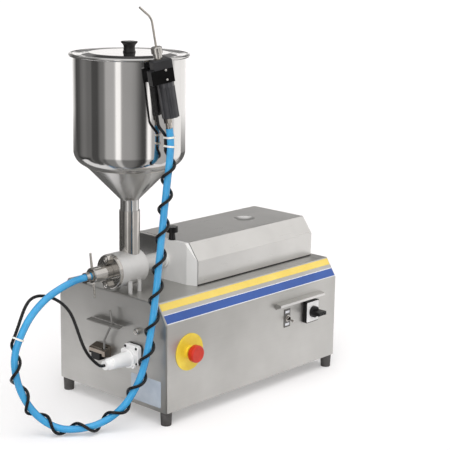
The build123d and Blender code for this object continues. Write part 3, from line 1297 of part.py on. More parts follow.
export_step(gun_grip.part, "parts/gun_grip.step")

# Through tube with its clamping nut and hose barb, needle nut and bent needle
nut_start = block_top + GUN_SPIGOT / 2
tube_top = nut_start + GUN_SPIGOT
needle_flange = NEEDLE_RADIUS
nut_end = nut_start + GUN_NUT_LENGTH
with BuildPart() as gun_tube:
    with BuildSketch(gun_plane.offset(tail_end)):
        Circle(GUN_TUBE)
    extrude(amount=tube_top - tail_end)
    with BuildSketch(gun_plane.offset(grip_bottom)):
        RegularPolygon(TAIL_NUT_RADIUS, 6)
    extrude(amount=-TAIL_NUT)
    for barb in range(BARB_COUNT):
        with BuildSketch(gun_plane.offset(tail_end - barb * barb_pitch)):
            Circle(HOSE_BORE - FIT_GAP)
        extrude(amount=-barb_pitch, taper=4)
    with BuildSketch(gun_plane.offset(tail_end - BARB_LENGTH)):
        Circle(GUN_BORE)
    extrude(amount=tube_top - tail_end + BARB_LENGTH, mode=Mode.SUBTRACT)
gun_tube.part.label = "gun_tube"
export_step(gun_tube.part, "parts/gun_tube.step")

with BuildPart() as gun_nut:
    with BuildSketch(gun_plane.offset(nut_start)):
        Circle(GUN_NUT_NECK)
    extrude(amount=GUN_NUT_LENGTH)
    with BuildSketch(gun_plane.offset(nut_end - GUN_NUT_COLLAR)):
        Circle(GUN_NUT_RADIUS)
    extrude(amount=GUN_NUT_COLLAR)
    chamfer(gun_nut.edges().group_by(Axis(gun_origin, gun_plane.z_dir))[-1], GUN_NUT_RADIUS / 6)
    with BuildSketch(gun_plane.offset(nut_start)):
        Circle(GUN_TUBE + FIT_GAP)
    extrude(amount=GUN_SPIGOT + needle_flange + 2 * FIT_GAP, mode=Mode.SUBTRACT)
    with BuildSketch(gun_plane.offset(nut_start)):
        Circle(NEEDLE_RADIUS + FIT_GAP)
    extrude(amount=GUN_NUT_LENGTH, mode=Mode.SUBTRACT)
gun_nut.part.label = "gun_nut"
export_step(gun_nut.part, "parts/gun_nut.step")

needle_plane = Plane(gun_origin, x_dir=gun_plane.x_dir, z_dir=gun_plane.y_dir * -1)
with BuildPart() as gun_needle:
    with BuildLine(needle_plane) as needle_path:
        FilletPolyline(
            (0, tube_top + FIT_GAP),
            (0, nut_end + NEEDLE_SHANK),
            (-NEEDLE_TIP_OUT, nut_end + NEEDLE_SHANK + NEEDLE_TIP_UP),
            radius=12 * NEEDLE_RADIUS,
        )
    with BuildSketch(Plane(needle_path.line @ 0, z_dir=needle_path.line % 0)):
        Circle(NEEDLE_RADIUS)
        Circle(NEEDLE_RADIUS - NEEDLE_WALL, mode=Mode.SUBTRACT)
    sweep()
    with BuildSketch(gun_plane.offset(tube_top + FIT_GAP)):
        Circle(GUN_TUBE - FIT_GAP)
        Circle(NEEDLE_RADIUS - NEEDLE_WALL, mode=Mode.SUBTRACT)
    extrude(amount=needle_flange)
gun_needle.part.label = "gun_needle"
export_step(gun_needle.part, "parts/gun_needle.step")

# Hook on the hopper's wall: wall leg, shelf and upturned tongue in the block's slot
wall_leg = GUN_DISTANCE - HOPPER_RADIUS - FIT_GAP / 2
tongue_y = HOOK_SEAT + FIT_GAP
with BuildPart() as gun_hook:
    with BuildSketch(hook_plane.offset(-HOOK_DROP)):
        with Locations((0, (tongue_y + wall_leg) / 2)):
            Rectangle(HOOK_WIDTH, wall_leg - tongue_y)
    extrude(amount=HOOK_SHEET)
    with BuildSketch(hook_plane.offset(-HOOK_DROP)):
        with Locations((0, wall_leg - HOOK_SHEET / 2)):
            Rectangle(HOOK_WIDTH, HOOK_SHEET)
    extrude(amount=HOOK_DROP + HOOK_RISE)
    with BuildSketch(hook_plane.offset(-HOOK_DROP)):
        with Locations((0, tongue_y + HOOK_SHEET / 2)):
            Rectangle(HOOK_WIDTH, HOOK_SHEET)
    extrude(amount=HOOK_DROP - HOOK_WIDTH / 2 * math.sin(lean) - FIT_GAP)
gun_hook.part.label = "gun_hook"
export_step(gun_hook.part, "parts/gun_hook.step")


def bend_radii(points):
    """Return the largest fillet radius that each inner point of a route leaves room for."""
    route = [Vector(point) for point in points]
    radii = []
    for before, here, after in zip(route, route[1:], route[2:]):
        shorter = min((here - before).length, (after - here).length)
        half_turn = math.radians((here - before).get_angle(after - here)) / 2
        radii.append(0.45 * shorter / math.tan(half_turn))
    return radii


# Hose: from the outlet's tail down to the floor and up to the gun
hose_points = [
    (hose_face, PUMP_Y, PUMP_Z),
    (-362, PUMP_Y, PUMP_Z),
    (-395, 14, 322.4),
    (-421.6, 16, 313.1),
    (-441.6, 17.5, 304.2),
    (-461, 19.5, 291.3),
    (-477.2, 21, 277.6),
    (-492.2, 22.5, 261.4),
    (-505.1, 24, 241.5),
    (-515.8, 25.5, 221.1),
    (-523.9, 27, 200.2),
    (-527.6, 28, 178.4),
    (-525.6, 28.5, 155.1),
    (-519.6, 28.5, 127.4),
    (-511.4, 26, 100),
    (-500.4, 20, 75),
    (-487.4, 10.4, 51.6),
    (-473.4, -3.4, 34),
    (-459.5, -17.5, 22.4),
    (-446, -32.5, 16.6),
    (-431.5, -46.2, 15.6),
    (-411, -60.5, 16.2),
    (-384.7, -73.5, 20),
    (-357.5, -86, 30.9),
    (-338.6, -96, 45.8),
    (-322.7, -105.5, 64.9),
    (-309.6, -113.5, 88.8),
    (-299.3, -120, 112.5),
    (-290.5, -126.5, 145),
    (-281.5, -132, 194),
    (-273.5, -136, 250),
    (-264.5, -138.3, 318),
    (-255.5, -138.8, 393),
    (-246, -139.6, 470),
    (-237, -141, 545),
    (-229.5, -142, 602),
    gun_plane.from_local_coords(Vector(0, 0, tail_end - 1.2 * BARB_LENGTH)),
    gun_plane.from_local_coords(Vector(0, 0, tail_end)),
]
hose_radii = bend_radii(hose_points)
with BuildPart() as hose:
    with BuildLine() as hose_path:
        FilletPolyline(*hose_points, radius=hose_radii)
    with BuildSketch(Plane(hose_path.line @ 0, z_dir=hose_path.line % 0)):
        Circle(HOSE_RADIUS)
        Circle(HOSE_BORE, mode=Mode.SUBTRACT)
    sweep()
hose.part.label = "hose"
export_step(hose.part, "parts/hose.step")
hose_wire = hose_path.wire()
hose_section = math.pi * (HOSE_RADIUS**2 - HOSE_BORE**2)
print("hose length", round(hose_wire.length, 1), "least radius", round(min(hose_radii), 1))
print("hose volume / section x length", round(hose.part.volume / (hose_section * hose_wire.length), 4))

# Hose clamp at the outlet: band and screw housing
clamp_x = hose_face - CLAMP_LENGTH / 2
clamp_bore = HOSE_RADIUS + FIT_GAP / 2
with BuildPart() as hose_clamp:
    disc_x(clamp_x - CLAMP_LENGTH, clamp_bore + CLAMP_THICK, CLAMP_LENGTH)
    with BuildSketch(Plane.YZ.offset(clamp_x - CLAMP_LENGTH)):
        with Locations((PUMP_Y, PUMP_Z - clamp_bore - 1.5 * CLAMP_THICK)):
            Rectangle(1.5 * CLAMP_LENGTH, 2 * CLAMP_THICK)
    extrude(amount=CLAMP_LENGTH)
    disc_x(clamp_x - CLAMP_LENGTH, clamp_bore, CLAMP_LENGTH, mode=Mode.SUBTRACT)
hose_clamp.part.label = "hose_clamp"
export_step(hose_clamp.part, "parts/hose_clamp.step")

# Control cable wound round the hose, from the tie near the outlet to the gun's block
wind_radius = HOSE_RADIUS + WIND_GAP + CABLE_RADIUS
wind_end = hose_wire.length - WIND_END
wind_stop = hose_wire.length - WIND_TAIL
wind_steps = 5 * math.ceil(WIND_TURNS)
aside = Vector(0.8, 0.6, 0)


def hose_at(distance):
    """Return the hose's centre and direction at a distance from the outlet."""
    return (
        hose_wire.position_at(distance, position_mode=PositionMode.LENGTH),
        hose_wire.tangent_at(distance, position_mode=PositionMode.LENGTH),
    )


def wind_rate(distance):
    """Return the relative rate of turning: eased at both ends, tighter towards the gun, none past the end."""
    share = (distance - WIND_START) / (wind_end - WIND_START)
    eased = max(0, min(1, (distance - WIND_START) / WIND_RAMP, (wind_end - distance) / WIND_RAMP))
    return eased * (1 + WIND_TIGHTER * (2 * share - 1))


fine_steps = 20 * wind_steps
fine = (wind_stop - WIND_START) / fine_steps
turned = [0.0]
for step in range(fine_steps):
    turned.append(turned[-1] + wind_rate(WIND_START + (step + 0.5) * fine))


def wind_point(index):
    """Return the cable's centre at a fine step of the winding."""
    centre, forward = hose_at(WIND_START + index * fine)
    first = (aside - forward * aside.dot(forward)).normalized()
    second = forward.cross(first)
    angle = math.radians(WIND_PHASE) + 2 * math.pi * WIND_TURNS * turned[index] / turned[-1]
    return centre + (first * math.cos(angle) + second * math.sin(angle)) * wind_radius


def biarc(start, start_dir, end, end_dir):
    """Add two tangent arcs from one point and direction to another, in the open line."""
    span = end - start
    both = start_dir + end_dir
    ease = 4 - both.dot(both)
    reach = span.dot(span) / (math.sqrt(span.dot(both) ** 2 + ease * span.dot(span)) + span.dot(both))
    near = start + start_dir * reach
    far = end - end_dir * reach
    TangentArc(start, (near + far) / 2, tangent=start_dir)
    TangentArc((near + far) / 2, end, tangent=far - near)


wind_points = [wind_point(20 * step) for step in range(wind_steps + 1)]
wind_dirs = [hose_at(WIND_START)[1]]
for step in range(1, wind_steps):
    wind_dirs.append((wind_point(20 * step + 1) - wind_point(20 * step - 1)).normalized())
wind_dirs.append(hose_at(wind_stop)[1])
lead_start = wind_points[0] - wind_dirs[0] * WIND_LEAD
entry_start = gun_plane.from_local_coords(Vector(-CABLE_ENTRY, 0, grip_bottom - CABLE_RADIUS))
entry_end = gun_plane.from_local_coords(Vector(-CABLE_ENTRY, 0, block_bottom))
with BuildPart() as cable_winding:
    with BuildLine() as wind_path:
        Line(lead_start, wind_points[0])
        for step in range(wind_steps):
            biarc(wind_points[step], wind_dirs[step], wind_points[step + 1], wind_dirs[step + 1])
        biarc(wind_points[-1], wind_dirs[-1], entry_start, gun_plane.z_dir)
        Line(entry_start, entry_end)
    with BuildSketch(Plane(wind_path.line @ 0, z_dir=wind_dirs[0])):
        Circle(CABLE_RADIUS)
    sweep()
cable_winding.part.label = "cable_winding"
export_step(cable_winding.part, "parts/cable_winding.step")
wind_length = sum(edge.length for edge in wind_path.edges())
wind_arcs = wind_path.edges().filter_by(GeomType.CIRCLE)
trace = []
for edge in wind_path.edges():
    trace += [tuple(edge @ (share / 6)) for share in range(6)]
apart = round(6 * 4 * CABLE_RADIUS / (wind_length / len(wind_path.edges()))) + 1
self_gap = min(
    math.dist(trace[i], trace[k]) for i in range(len(trace)) for k in range(i + apart, len(trace))
) - 2 * CABLE_RADIUS
cable_section = math.pi * CABLE_RADIUS**2
wind_share = cable_winding.part.volume / (cable_section * wind_length)
print("winding length", round(wind_length, 1), "least arc", round(min(arc.radius for arc in wind_arcs), 1))
print("winding volume / section x length", round(wind_share, 4))
print("winding's least gap to itself", round(self_gap, 2))

# Free control cable: from the plug to the tie
cable_points = [
    (cable_face, socket_y, plug_z),
    (cable_face - CABLE_STUB, socket_y, plug_z),
    (-364.5, -58.4, 150.6),
    (-374.7, -58, 160.2),
    (-383.9, -57, 170),
    (-391.7, -54.5, 181.1),
    (-396.8, -50, 194.3),
    (-399.4, -44, 208.3),
    (-399.9, -35, 225.6),
    (-399.8, -24, 245.9),
    (-400, -12, 263.9),
    (-402, 1, 276.5),
    (-406.4, 15, 286.5),
    (-415, 29.5, 295),
    (-428, 42, 300.5),
    (-445, 49.5, 302.2),
    (-464, 49.5, 298.5),
    (-481.5, 44.5, 286.5),
    (-497, 38, 270),
    lead_start - wind_dirs[0] * 2 * WIND_LEAD,
    lead_start,
]
cable_radii = bend_radii(cable_points)
with BuildPart() as control_cable:
    with BuildLine() as cable_path:
        FilletPolyline(*cable_points, radius=cable_radii)
    with BuildSketch(Plane(cable_path.line @ 0, z_dir=cable_path.line % 0)):
        Circle(CABLE_RADIUS)
    sweep()
control_cable.part.label = "control_cable"
export_step(control_cable.part, "parts/control_cable.step")
cable_length = cable_path.wire().length
print("cable length", round(cable_length, 1), "least radius", round(min(cable_radii), 1))
print("cable volume / section x length", round(control_cable.part.volume / (cable_section * cable_length), 4))

# Cable ties: one at the start of the winding, two below the gun
tie_marks = [(WIND_START - WIND_LEAD / 2, wind_points[0] - wind_dirs[0] * (WIND_LEAD / 2))]
for spot in TIE_SPOTS:
    index = round((hose_wire.length - spot - WIND_START) / fine)
    tie_marks.append((WIND_START + index * fine, wind_point(index)))


def tie_outline(spread, thick):
    """Draw the band round the hose and the cable beside it, in the open sketch."""
    Circle(HOSE_RADIUS + TIE_GAP + thick)
    with Locations((spread, 0)):
        Circle(CABLE_RADIUS + TIE_GAP + thick)
    make_hull()


with BuildPart() as cable_ties:
    for distance, beside in tie_marks:
        centre, forward = hose_at(distance)
        tie_plane = Plane(centre, x_dir=beside - centre, z_dir=forward)
        spread = (beside - centre).length
        with BuildSketch(tie_plane.offset(-TIE_WIDTH / 2)):
            tie_outline(spread, TIE_THICK)
            with Locations((0, -HOSE_RADIUS - TIE_GAP - TIE_THICK)):
                Rectangle(TIE_WIDTH, 2 * TIE_THICK)
        extrude(amount=TIE_WIDTH)
        with BuildSketch(tie_plane.offset(-TIE_WIDTH / 2)):
            tie_outline(spread, 0)
        extrude(amount=TIE_WIDTH, mode=Mode.SUBTRACT)
cable_ties.part.label = "cable_ties"
export_step(cable_ties.part, "parts/cable_ties.step")
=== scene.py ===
import logging
import math
from dataclasses import dataclass
from enum import Enum

import bmesh
import bpy
from bmesh.types import BMesh
from bpy.types import Material, Node, NodeSocket, NodeTree, Object
from mathutils import Matrix, Vector


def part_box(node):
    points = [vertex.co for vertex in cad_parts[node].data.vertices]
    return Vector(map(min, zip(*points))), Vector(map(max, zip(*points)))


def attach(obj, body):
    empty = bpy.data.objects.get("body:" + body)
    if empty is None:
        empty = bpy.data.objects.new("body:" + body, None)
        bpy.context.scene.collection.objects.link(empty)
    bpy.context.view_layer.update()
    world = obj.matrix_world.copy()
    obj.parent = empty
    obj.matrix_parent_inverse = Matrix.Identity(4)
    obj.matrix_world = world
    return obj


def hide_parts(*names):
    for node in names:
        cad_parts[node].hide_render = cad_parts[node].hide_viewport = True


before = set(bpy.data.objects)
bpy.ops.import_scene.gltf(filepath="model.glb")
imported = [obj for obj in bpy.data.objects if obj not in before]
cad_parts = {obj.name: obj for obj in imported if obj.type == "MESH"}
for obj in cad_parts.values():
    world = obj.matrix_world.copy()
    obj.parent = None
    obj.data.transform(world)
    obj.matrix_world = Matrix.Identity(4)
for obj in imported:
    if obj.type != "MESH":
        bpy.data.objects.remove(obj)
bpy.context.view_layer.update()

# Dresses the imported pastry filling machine: finishes on its solids, hose and cable, small trim.
# Metres, in the frame of the solids: -X is the pump end, -Y the operator's side, +Z up.
MM = 0.001
HOPPER_AXIS = (-0.204, 0.0115)
AT_HOPPER = Matrix.Translation((*HOPPER_AXIS, 0))
log = logging.getLogger("filling_machine")

Pair = tuple[float, float]
Triple = tuple[float, float, float]
Quad = tuple[float, float, float, float]
Outline = tuple[Pair, ...]

# The X and Z axes of what lies on the pump end, and of what faces the operator or the gun's user.
ON_END = (Vector((0, -1, 0)), Vector((-1, 0, 0)))
ON_FRONT = (Vector((1, 0, 0)), Vector((0, -1, 0)))

# The noise behind the patches of tone and the grain, and the middle of its range that is used.
CLOUD_NOISE = {"Detail": 3.0, "Roughness": 0.55}
CLOUD_SPAN = {"From Min": 0.3, "From Max": 0.7}
GRAIN_NOISE = {"Scale": 1.0, "Detail": 2.0, "Roughness": 0.6}
GRAIN_SPAN = {"From Min": 0.25, "From Max": 0.75}
BUMP_STRENGTH = 0.5
COAT_ROUGHNESS = 0.12
# A face takes the end grain where its normal's share along X is above this.
END_FACING = 0.7
# Edges that turn by more degrees than this stay sharp.
SHARP_FROM = 38.0
# A point nearer to the axis than this is on it.
ON_AXIS = 1e-7
# A run is braced when it is this many times as long as the distance of its braces.
LONG_RUN = 5
RIM_SEGMENTS = 3


def linear(code: str) -> Quad:
    """Turn an sRGB hex colour into linear light.

    Args:
        code: a hash and six hex digits.

    Returns:
        Red, green, blue and an alpha of 1.
    """
    channels = [int(code[i : i + 2], 16) / 255 for i in (1, 3, 5)]
    lit = [c / 12.92 if c <= 0.04045 else ((c + 0.055) / 1.055) ** 2.4 for c in channels]
    return (lit[0], lit[1], lit[2], 1.0)


def add_node(
    tree: NodeTree, kind: str, settings: dict | None = None, links: dict | None = None
) -> Node:
    """Add one shader node with its settings and links.

    Args:
        tree: node tree that takes the node.
        kind: node type without its ShaderNode prefix.
        settings: values by attribute name, or by an input's name or number.
        links: output sockets by the input's name or number.

    Returns:
        The new node.
    """
    node = tree.nodes.new("ShaderNode" + kind)
    for name, value in (settings or {}).items():
        if isinstance(name, str) and hasattr(node, name):
            setattr(node, name, value)
        else:
            node.inputs[name].default_value = value
    for name, socket in (links or {}).items():
        tree.links.new(socket, node.inputs[name])
    return node


class Grain(Enum):
    """Way that a pattern runs on a piece, as its stretch along X, Y and Z."""

    EVEN = (1.0, 1.0, 1.0)
    ALONG_X = (0.02, 1.0, 1.0)
    ALONG_Y = (1.0, 0.02, 1.0)
    ALONG_Z = (1.0, 1.0, 0.02)


@dataclass(frozen=True)
class Bench:
    """A material in the making: its nodes, its shader and the position on the piece."""

    tree: NodeTree
    shader: Node
    place: NodeSocket

    def wire(self, socket: NodeSocket, name: str) -> None:
        """Link a socket to the shader's input of that name."""
        self.tree.links.new(socket, self.shader.inputs[name])

    def gloss(self) -> NodeSocket:
        """Return the socket that gives the shader its roughness."""
        return self.shader.inputs["Roughness"].links[0].from_socket

    def fade(self, axis: str, ends: Pair, levels: Pair = (0.0, 1.0)) -> NodeSocket:
        """Make a level that changes along one axis of the piece.

        Args:
            axis: X, Y or Z.
            ends: positions between which it changes.
            levels: the levels at these positions and beyond.

        Returns:
            The level.
        """
        parts = add_node(self.tree, "SeparateXYZ", links={0: self.place})
        span = dict(zip(("From Min", "From Max", "To Min", "To Max"), (*ends, *levels)))
        return add_node(self.tree, "MapRange", span, {"Value": parts.outputs[axis]}).outputs[0]


@dataclass(frozen=True)
class Finish:
    """A surface finish: two tones, gloss, and the pattern that its making leaves.

    spread is how far the roughness varies, grain_mm the pattern's pitch, relief_mm the bump's
    depth and cloud_mm the size of the patches of tone. end_grain is for faces that look along X.
    """

    name: str
    light: str
    dark: str
    roughness: float
    spread: float
    grain_mm: float
    relief_mm: float
    cloud_mm: float
    grain: Grain = Grain.EVEN
    end_grain: Grain | None = None
    metallic: float = 0.0
    coat: float = 0.0
    shine: float = 0.5

    def material(self) -> Material:
        """Return this finish's material, made on the first call.

        Returns:
            The material of this name.
        """
        known = bpy.data.materials.get(self.name)
        if known:
            return known
        made = bpy.data.materials.new(self.name)
        made.use_nodes = True
        tree = made.node_tree
        tree.nodes.clear()
        shader = add_node(tree, "BsdfPrincipled", {"Metallic": self.metallic})
        add_node(tree, "OutputMaterial", links={"Surface": shader.outputs[0]})
        bench = Bench(tree, shader, add_node(tree, "TexCoord").outputs["Object"])
        self.tone(bench)
        self.surface(bench)
        self.sockets(shader)
        return made

    def tone(self, bench: Bench) -> None:
        """Wire the two tones in soft patches to the base colour.

        Args:
            bench: the material in the making.
        """
        noise = {"Scale": 1 / (self.cloud_mm * MM), **CLOUD_NOISE}
        cloud = add_node(bench.tree, "TexNoise", noise, {"Vector": bench.place})
        patches = add_node(bench.tree, "MapRange", CLOUD_SPAN, {"Value": cloud.outputs["Fac"]})
        tones = {"data_type": "RGBA", 6: linear(self.dark), 7: linear(self.light)}
        mixed = add_node(bench.tree, "Mix", tones, {0: patches.outputs[0]})
        bench.wire(mixed.outputs[2], "Base Color")

    def grain_place(self, bench: Bench) -> NodeSocket:
        """Stretch the position along the grain, with its own run on faces that look along X.

        Args:
            bench: the material in the making.

        Returns:
            The stretched position, one unit to a grain.
        """
        tree, runs = bench.tree, []
        for grain in (self.grain, self.end_grain):
            if grain:
                scale = {"Scale": [share / (self.grain_mm * MM) for share in grain.value]}
                runs.append(add_node(tree, "Mapping", scale, {"Vector": bench.place}).outputs[0])
        if self.end_grain is None:
            return runs[0]
        facing = add_node(tree, "NewGeometry").outputs["Normal"]
        parts = add_node(tree, "SeparateXYZ", links={0: facing})
        square = add_node(tree, "Math", {"operation": "ABSOLUTE"}, {0: parts.outputs["X"]})
        above = {"operation": "GREATER_THAN", 1: END_FACING}
        on_end = add_node(tree, "Math", above, {0: square.outputs[0]})
        links = {0: on_end.outputs[0], 4: runs[0], 5: runs[1]}
        return add_node(tree, "Mix", {"data_type": "VECTOR"}, links).outputs[1]

    def surface(self, bench: Bench) -> None:
        """Wire the grain to roughness and bump.

        Args:
            bench: the material in the making.
        """
        grain = add_node(bench.tree, "TexNoise", GRAIN_NOISE, {"Vector": self.grain_place(bench)})
        gloss = {"To Min": self.roughness - self.spread, "To Max": self.roughness + self.spread}
        height = grain.outputs["Fac"]
        varied = add_node(bench.tree, "MapRange", {**GRAIN_SPAN, **gloss}, {"Value": height})
        bench.wire(varied.outputs[0], "Roughness")
        depth = {"Strength": BUMP_STRENGTH, "Distance": self.relief_mm * MM}
        bump = add_node(bench.tree, "Bump", depth, {"Height": height})
        bench.wire(bump.outputs[0], "Normal")

    def sockets(self, shader: Node) -> None:
        """Set what is the same all over the surface on the shader's own sockets.

        Args:
            shader: the material's shader.
        """
        shader.inputs["Specular IOR Level"].default_value = self.shine
        shader.inputs["Coat Weight"].default_value = self.coat
        shader.inputs["Coat Roughness"].default_value = COAT_ROUGHNESS


@dataclass(frozen=True)
class SoftVinyl(Finish):
    """Flexible plastic: a little light travels inside it, so its shaded side stays coloured."""

    ior: float = 1.53
    depth_mm: float = 3.0
    inside: float = 0.0

    def sockets(self, shader: Node) -> None:
        """Add the light that travels inside the plastic to the plain sockets.

        Args:
            shader: the material's shader.
        """
        super().sockets(shader)
        shader.inputs["IOR"].default_value = self.ior
        shader.inputs["Subsurface Weight"].default_value = self.inside
        shader.inputs["Subsurface Scale"].default_value = self.depth_mm * MM


@dataclass(frozen=True)
class SpunSheet(Finish):
    """Polished sheet of a spun vessel: its knuckle and cone below the wall are left duller."""

    cone_top: float = 0.600
    cone_fade: float = 30 * MM
    cone_dull: float = 0.10

    def surface(self, bench: Bench) -> None:
        """Add the cone's dullness to the plain gloss.

        Args:
            bench: the material in the making.
        """
        super().surface(bench)
        ends = (self.cone_top - self.cone_fade, self.cone_top)
        links = {0: bench.gloss(), 1: bench.fade("Z", ends, (self.cone_dull, 0.0))}
        both = add_node(bench.tree, "Math", {"operation": "ADD"}, links)
        bench.wire(both.outputs[0], "Roughness")


@dataclass(frozen=True)
class PlateWithPaintedLightAndShade(Finish):
    """Plate with painted light and shade: pale and nearly matt on its near part, a dark mirror on
    its far part.
    """

    # Where along Y the far part begins, its fade, and its roughness: the far part is a dark mirror,
    # as painted shade.
    painted_shade_from: float = 0.012
    painted_shade_fade: float = 12 * MM
    rolled: float = 0.10

    def surface(self, bench: Bench) -> None:
        """Make the far part a dark mirror, as painted shade, through its gloss and the metal's
        bareness.

        Args:
            bench: the material in the making.
        """
        super().surface(bench)
        far = bench.fade("Y", (self.painted_shade_from, self.painted_shade_from + self.painted_shade_fade))
        both = add_node(bench.tree, "Mix", {3: self.rolled}, {0: far, 2: bench.gloss()})
        bench.wire(both.outputs[0], "Roughness")
        levels = {"To Min": self.metallic, "To Max": 1.0}
        bare = add_node(bench.tree, "MapRange", levels, {"Value": far})
        bench.wire(bare.outputs[0], "Metallic")


# Each finish gives its name, light and dark tone, roughness and its spread, and then in
# millimetres its grain, relief and patches of tone.

# Ground stainless sheet: fine parallel scratches blur the room into soft grey sheets of light.
# The real grit line is near 0.1 mm; it is drawn at about 3 mm so that the render can hold it.
SATIN_SHEET = Finish(
    "ground_stainless_sheet", "#c7c6c3", "#b9b8b5", 0.40, 0.05, 3.0, 0.015, 160.0,
    Grain.ALONG_X, Grain.ALONG_Y, metallic=1.0,
)
# The same sheet in a paler copy for the hood and the visor, as painted light, and a little sharper.
SATIN_SHEET_PAINTED_PALER = Finish(
    "ground_stainless_sheet_painted_paler", "#dddcda", "#d0cfcd", 0.30, 0.03, 3.0, 0.006, 140.0,
    Grain.ALONG_X, Grain.ALONG_Y, metallic=1.0,
)
# Stainless plate, pale and nearly matt on its near part as painted light, so it stays pale from any
# side.
# Its far part is a darker mirror, as painted shade.
PLATE_PAINTED_LIGHT_AND_SHADE = PlateWithPaintedLightAndShade(
    "stainless_plate_painted_light_and_shade", "#efeeec", "#e6e5e3", 0.38, 0.05, 2.0, 0.006, 70.0,
    Grain.ALONG_Z, metallic=0.15,
)
# Bead-blasted stainless casting: tiny dimples, no direction, an even pale glow.
BLASTED_CASTING = Finish(
    "bead_blasted_stainless_casting", "#dcdbda", "#d0cfcd", 0.46, 0.05, 1.6, 0.02, 45.0,
    metallic=0.6,
)
# Mirror-buffed stainless sheet: sharp bands of the room, with faint upright lines from buffing.
# The real lines are near 0.2 mm; they are drawn at about 4 mm so that the render can hold them.
BUFFED_SHEET = SpunSheet(
    "mirror_buffed_stainless_sheet", "#cfcecd", "#c6c5c4", 0.09, 0.03, 4.0, 0.004, 200.0,
    Grain.ALONG_Z, metallic=1.0,
)
# The lid is the same sheet, buffed along one way: a bright crown in a dark ring.
BUFFED_LID = Finish(
    "buffed_stainless_lid", "#d6d4d5", "#cccacb", 0.07, 0.02, 4.0, 0.004, 120.0,
    Grain.ALONG_X, metallic=1.0,
)
# Rolled stainless strip, a dark mirror: its darker brown tone is a painted reflection of dark
# surroundings.
STRIP_PAINTED_DARK_REFLECTION = Finish(
    "stainless_strip_painted_dark_reflection", "#a0968c", "#8c837a", 0.20, 0.05, 1.5, 0.004, 20.0,
    Grain.ALONG_Y, metallic=1.0,
)
# Buffed stainless bar: near mirror, with the lathe's fine rings as a slight haze.
BUFFED_BAR = Finish(
    "buffed_stainless_bar", "#cfccc8", "#c2bfbb", 0.15, 0.04, 1.2, 0.003, 30.0, metallic=1.0
)
# Turned stainless: tool rings give a soft streak instead of a point of light.
TURNED_BAR = Finish(
    "turned_stainless_bar", "#cdc9c3", "#bbb7b1", 0.24, 0.05, 0.9, 0.004, 25.0, metallic=1.0
)
# Cold-drawn stainless tube: smooth, with one long soft streak of light.
DRAWN_TUBE = Finish(
    "drawn_stainless_tube", "#c9c4bd", "#bdb8b1", 0.20, 0.03, 6.0, 0.001, 30.0, metallic=1.0
)
# Spring-steel strip, tumbled: duller and flatter than the rest.
DARK_STRIP = Finish(
    "tumbled_steel_strip", "#9d9b98", "#8b8986", 0.42, 0.06, 2.0, 0.01, 30.0,
    Grain.ALONG_Y, metallic=0.6,
)
# Moulded rubber: dull, with dust that greys it in patches.
MOULDED_RUBBER = Finish("moulded_rubber", "#555352", "#403e3d", 0.62, 0.08, 1.4, 0.08, 22.0)
# Die-cut rubber strip and seals: the same compound, unworn and blacker.
SEAL_RUBBER = Finish("die_cut_rubber", "#232323", "#191919", 0.58, 0.06, 1.2, 0.05, 30.0)
# Printed vinyl film: flat saturated colour under a thin clear coat with slight orange peel.
YELLOW_FILM = Finish(
    "yellow_printed_vinyl", "#f0d56c", "#eacb58", 0.36, 0.04, 4.0, 0.01, 60.0, coat=0.25
)
BLUE_FILM = Finish(
    "blue_printed_vinyl", "#2552a0", "#1e4994", 0.34, 0.04, 4.0, 0.01, 60.0, coat=0.25
)
WHITE_FILM = Finish(
    "white_printed_vinyl", "#e9eaee", "#dfe0e5", 0.38, 0.04, 4.0, 0.01, 60.0, coat=0.2
)
# Anodised aluminium foil: bluish, blurred shine, no print.
FOIL_PLATE = Finish(
    "anodised_aluminium_foil", "#ccd4de", "#bec8d4", 0.42, 0.06, 1.5, 0.01, 25.0,
    Grain.ALONG_Y, metallic=0.35,
)
# Moulded glass-filled nylon: black with a fine spark texture that breaks up its highlights.
BLACK_NYLON = Finish(
    "moulded_black_nylon", "#151516", "#0e0e0f", 0.36, 0.06, 1.6, 0.03, 18.0, shine=0.3
)
# Moulded phenolic: glossier black, as on knobs.
BLACK_PHENOLIC = Finish(
    "moulded_black_phenolic", "#141414", "#0c0c0c", 0.22, 0.04, 2.5, 0.01, 20.0, shine=0.4
)
# Moulded nylon in charcoal, for the gun's block: softer black with a light bloom on it.
GREY_BLOCK = Finish(
    "moulded_charcoal_nylon", "#2a2a2c", "#202022", 0.34, 0.06, 1.6, 0.03, 20.0, shine=0.35
)
# The same charcoal on the grip, polished by hands, in a paler copy as painted sheen: each flute
# carries its own streak of light.
GRIP_PAINTED_SHEEN = Finish(
    "polished_charcoal_nylon_painted_sheen", "#3c3c3f", "#303033", 0.22, 0.04, 6.0, 0.004, 20.0, coat=0.3
)
# Moulded jet-black nylon cover: takes almost no light, so that only its screws shine.
BLACK_COVER = Finish(
    "moulded_jet_black_nylon", "#070707", "#040404", 0.28, 0.04, 2.5, 0.01, 15.0, shine=0.1
)
# Moulded polycarbonate: clean white with an even half gloss.
WHITE_MOULDING = Finish(
    "moulded_white_polycarbonate", "#f5f4f3", "#ecebea", 0.36, 0.05, 2.2, 0.03, 26.0, coat=0.1
)
# Natural nylon ties: slightly warmer and more see-through white.
NATURAL_NYLON = SoftVinyl(
    "natural_nylon", "#f3f1ea", "#e4e2da", 0.34, 0.05, 1.2, 0.03, 12.0, depth_mm=1.0, inside=0.2
)
# Engraved two-ply laminate: a grey face over white.
GREY_LAMINATE = Finish("grey_laminate", "#6a6866", "#5a5856", 0.44, 0.05, 1.2, 0.02, 16.0)
# Moulded ABS for the stop button and its ring: saturated, with a soft broad highlight.
RED_ABS = Finish("moulded_red_abs", "#d22c10", "#c0240c", 0.34, 0.05, 2.0, 0.03, 18.0, coat=0.15)
YELLOW_ABS = Finish(
    "moulded_yellow_abs", "#f3d846", "#e6c734", 0.38, 0.05, 2.0, 0.02, 22.0, coat=0.1
)
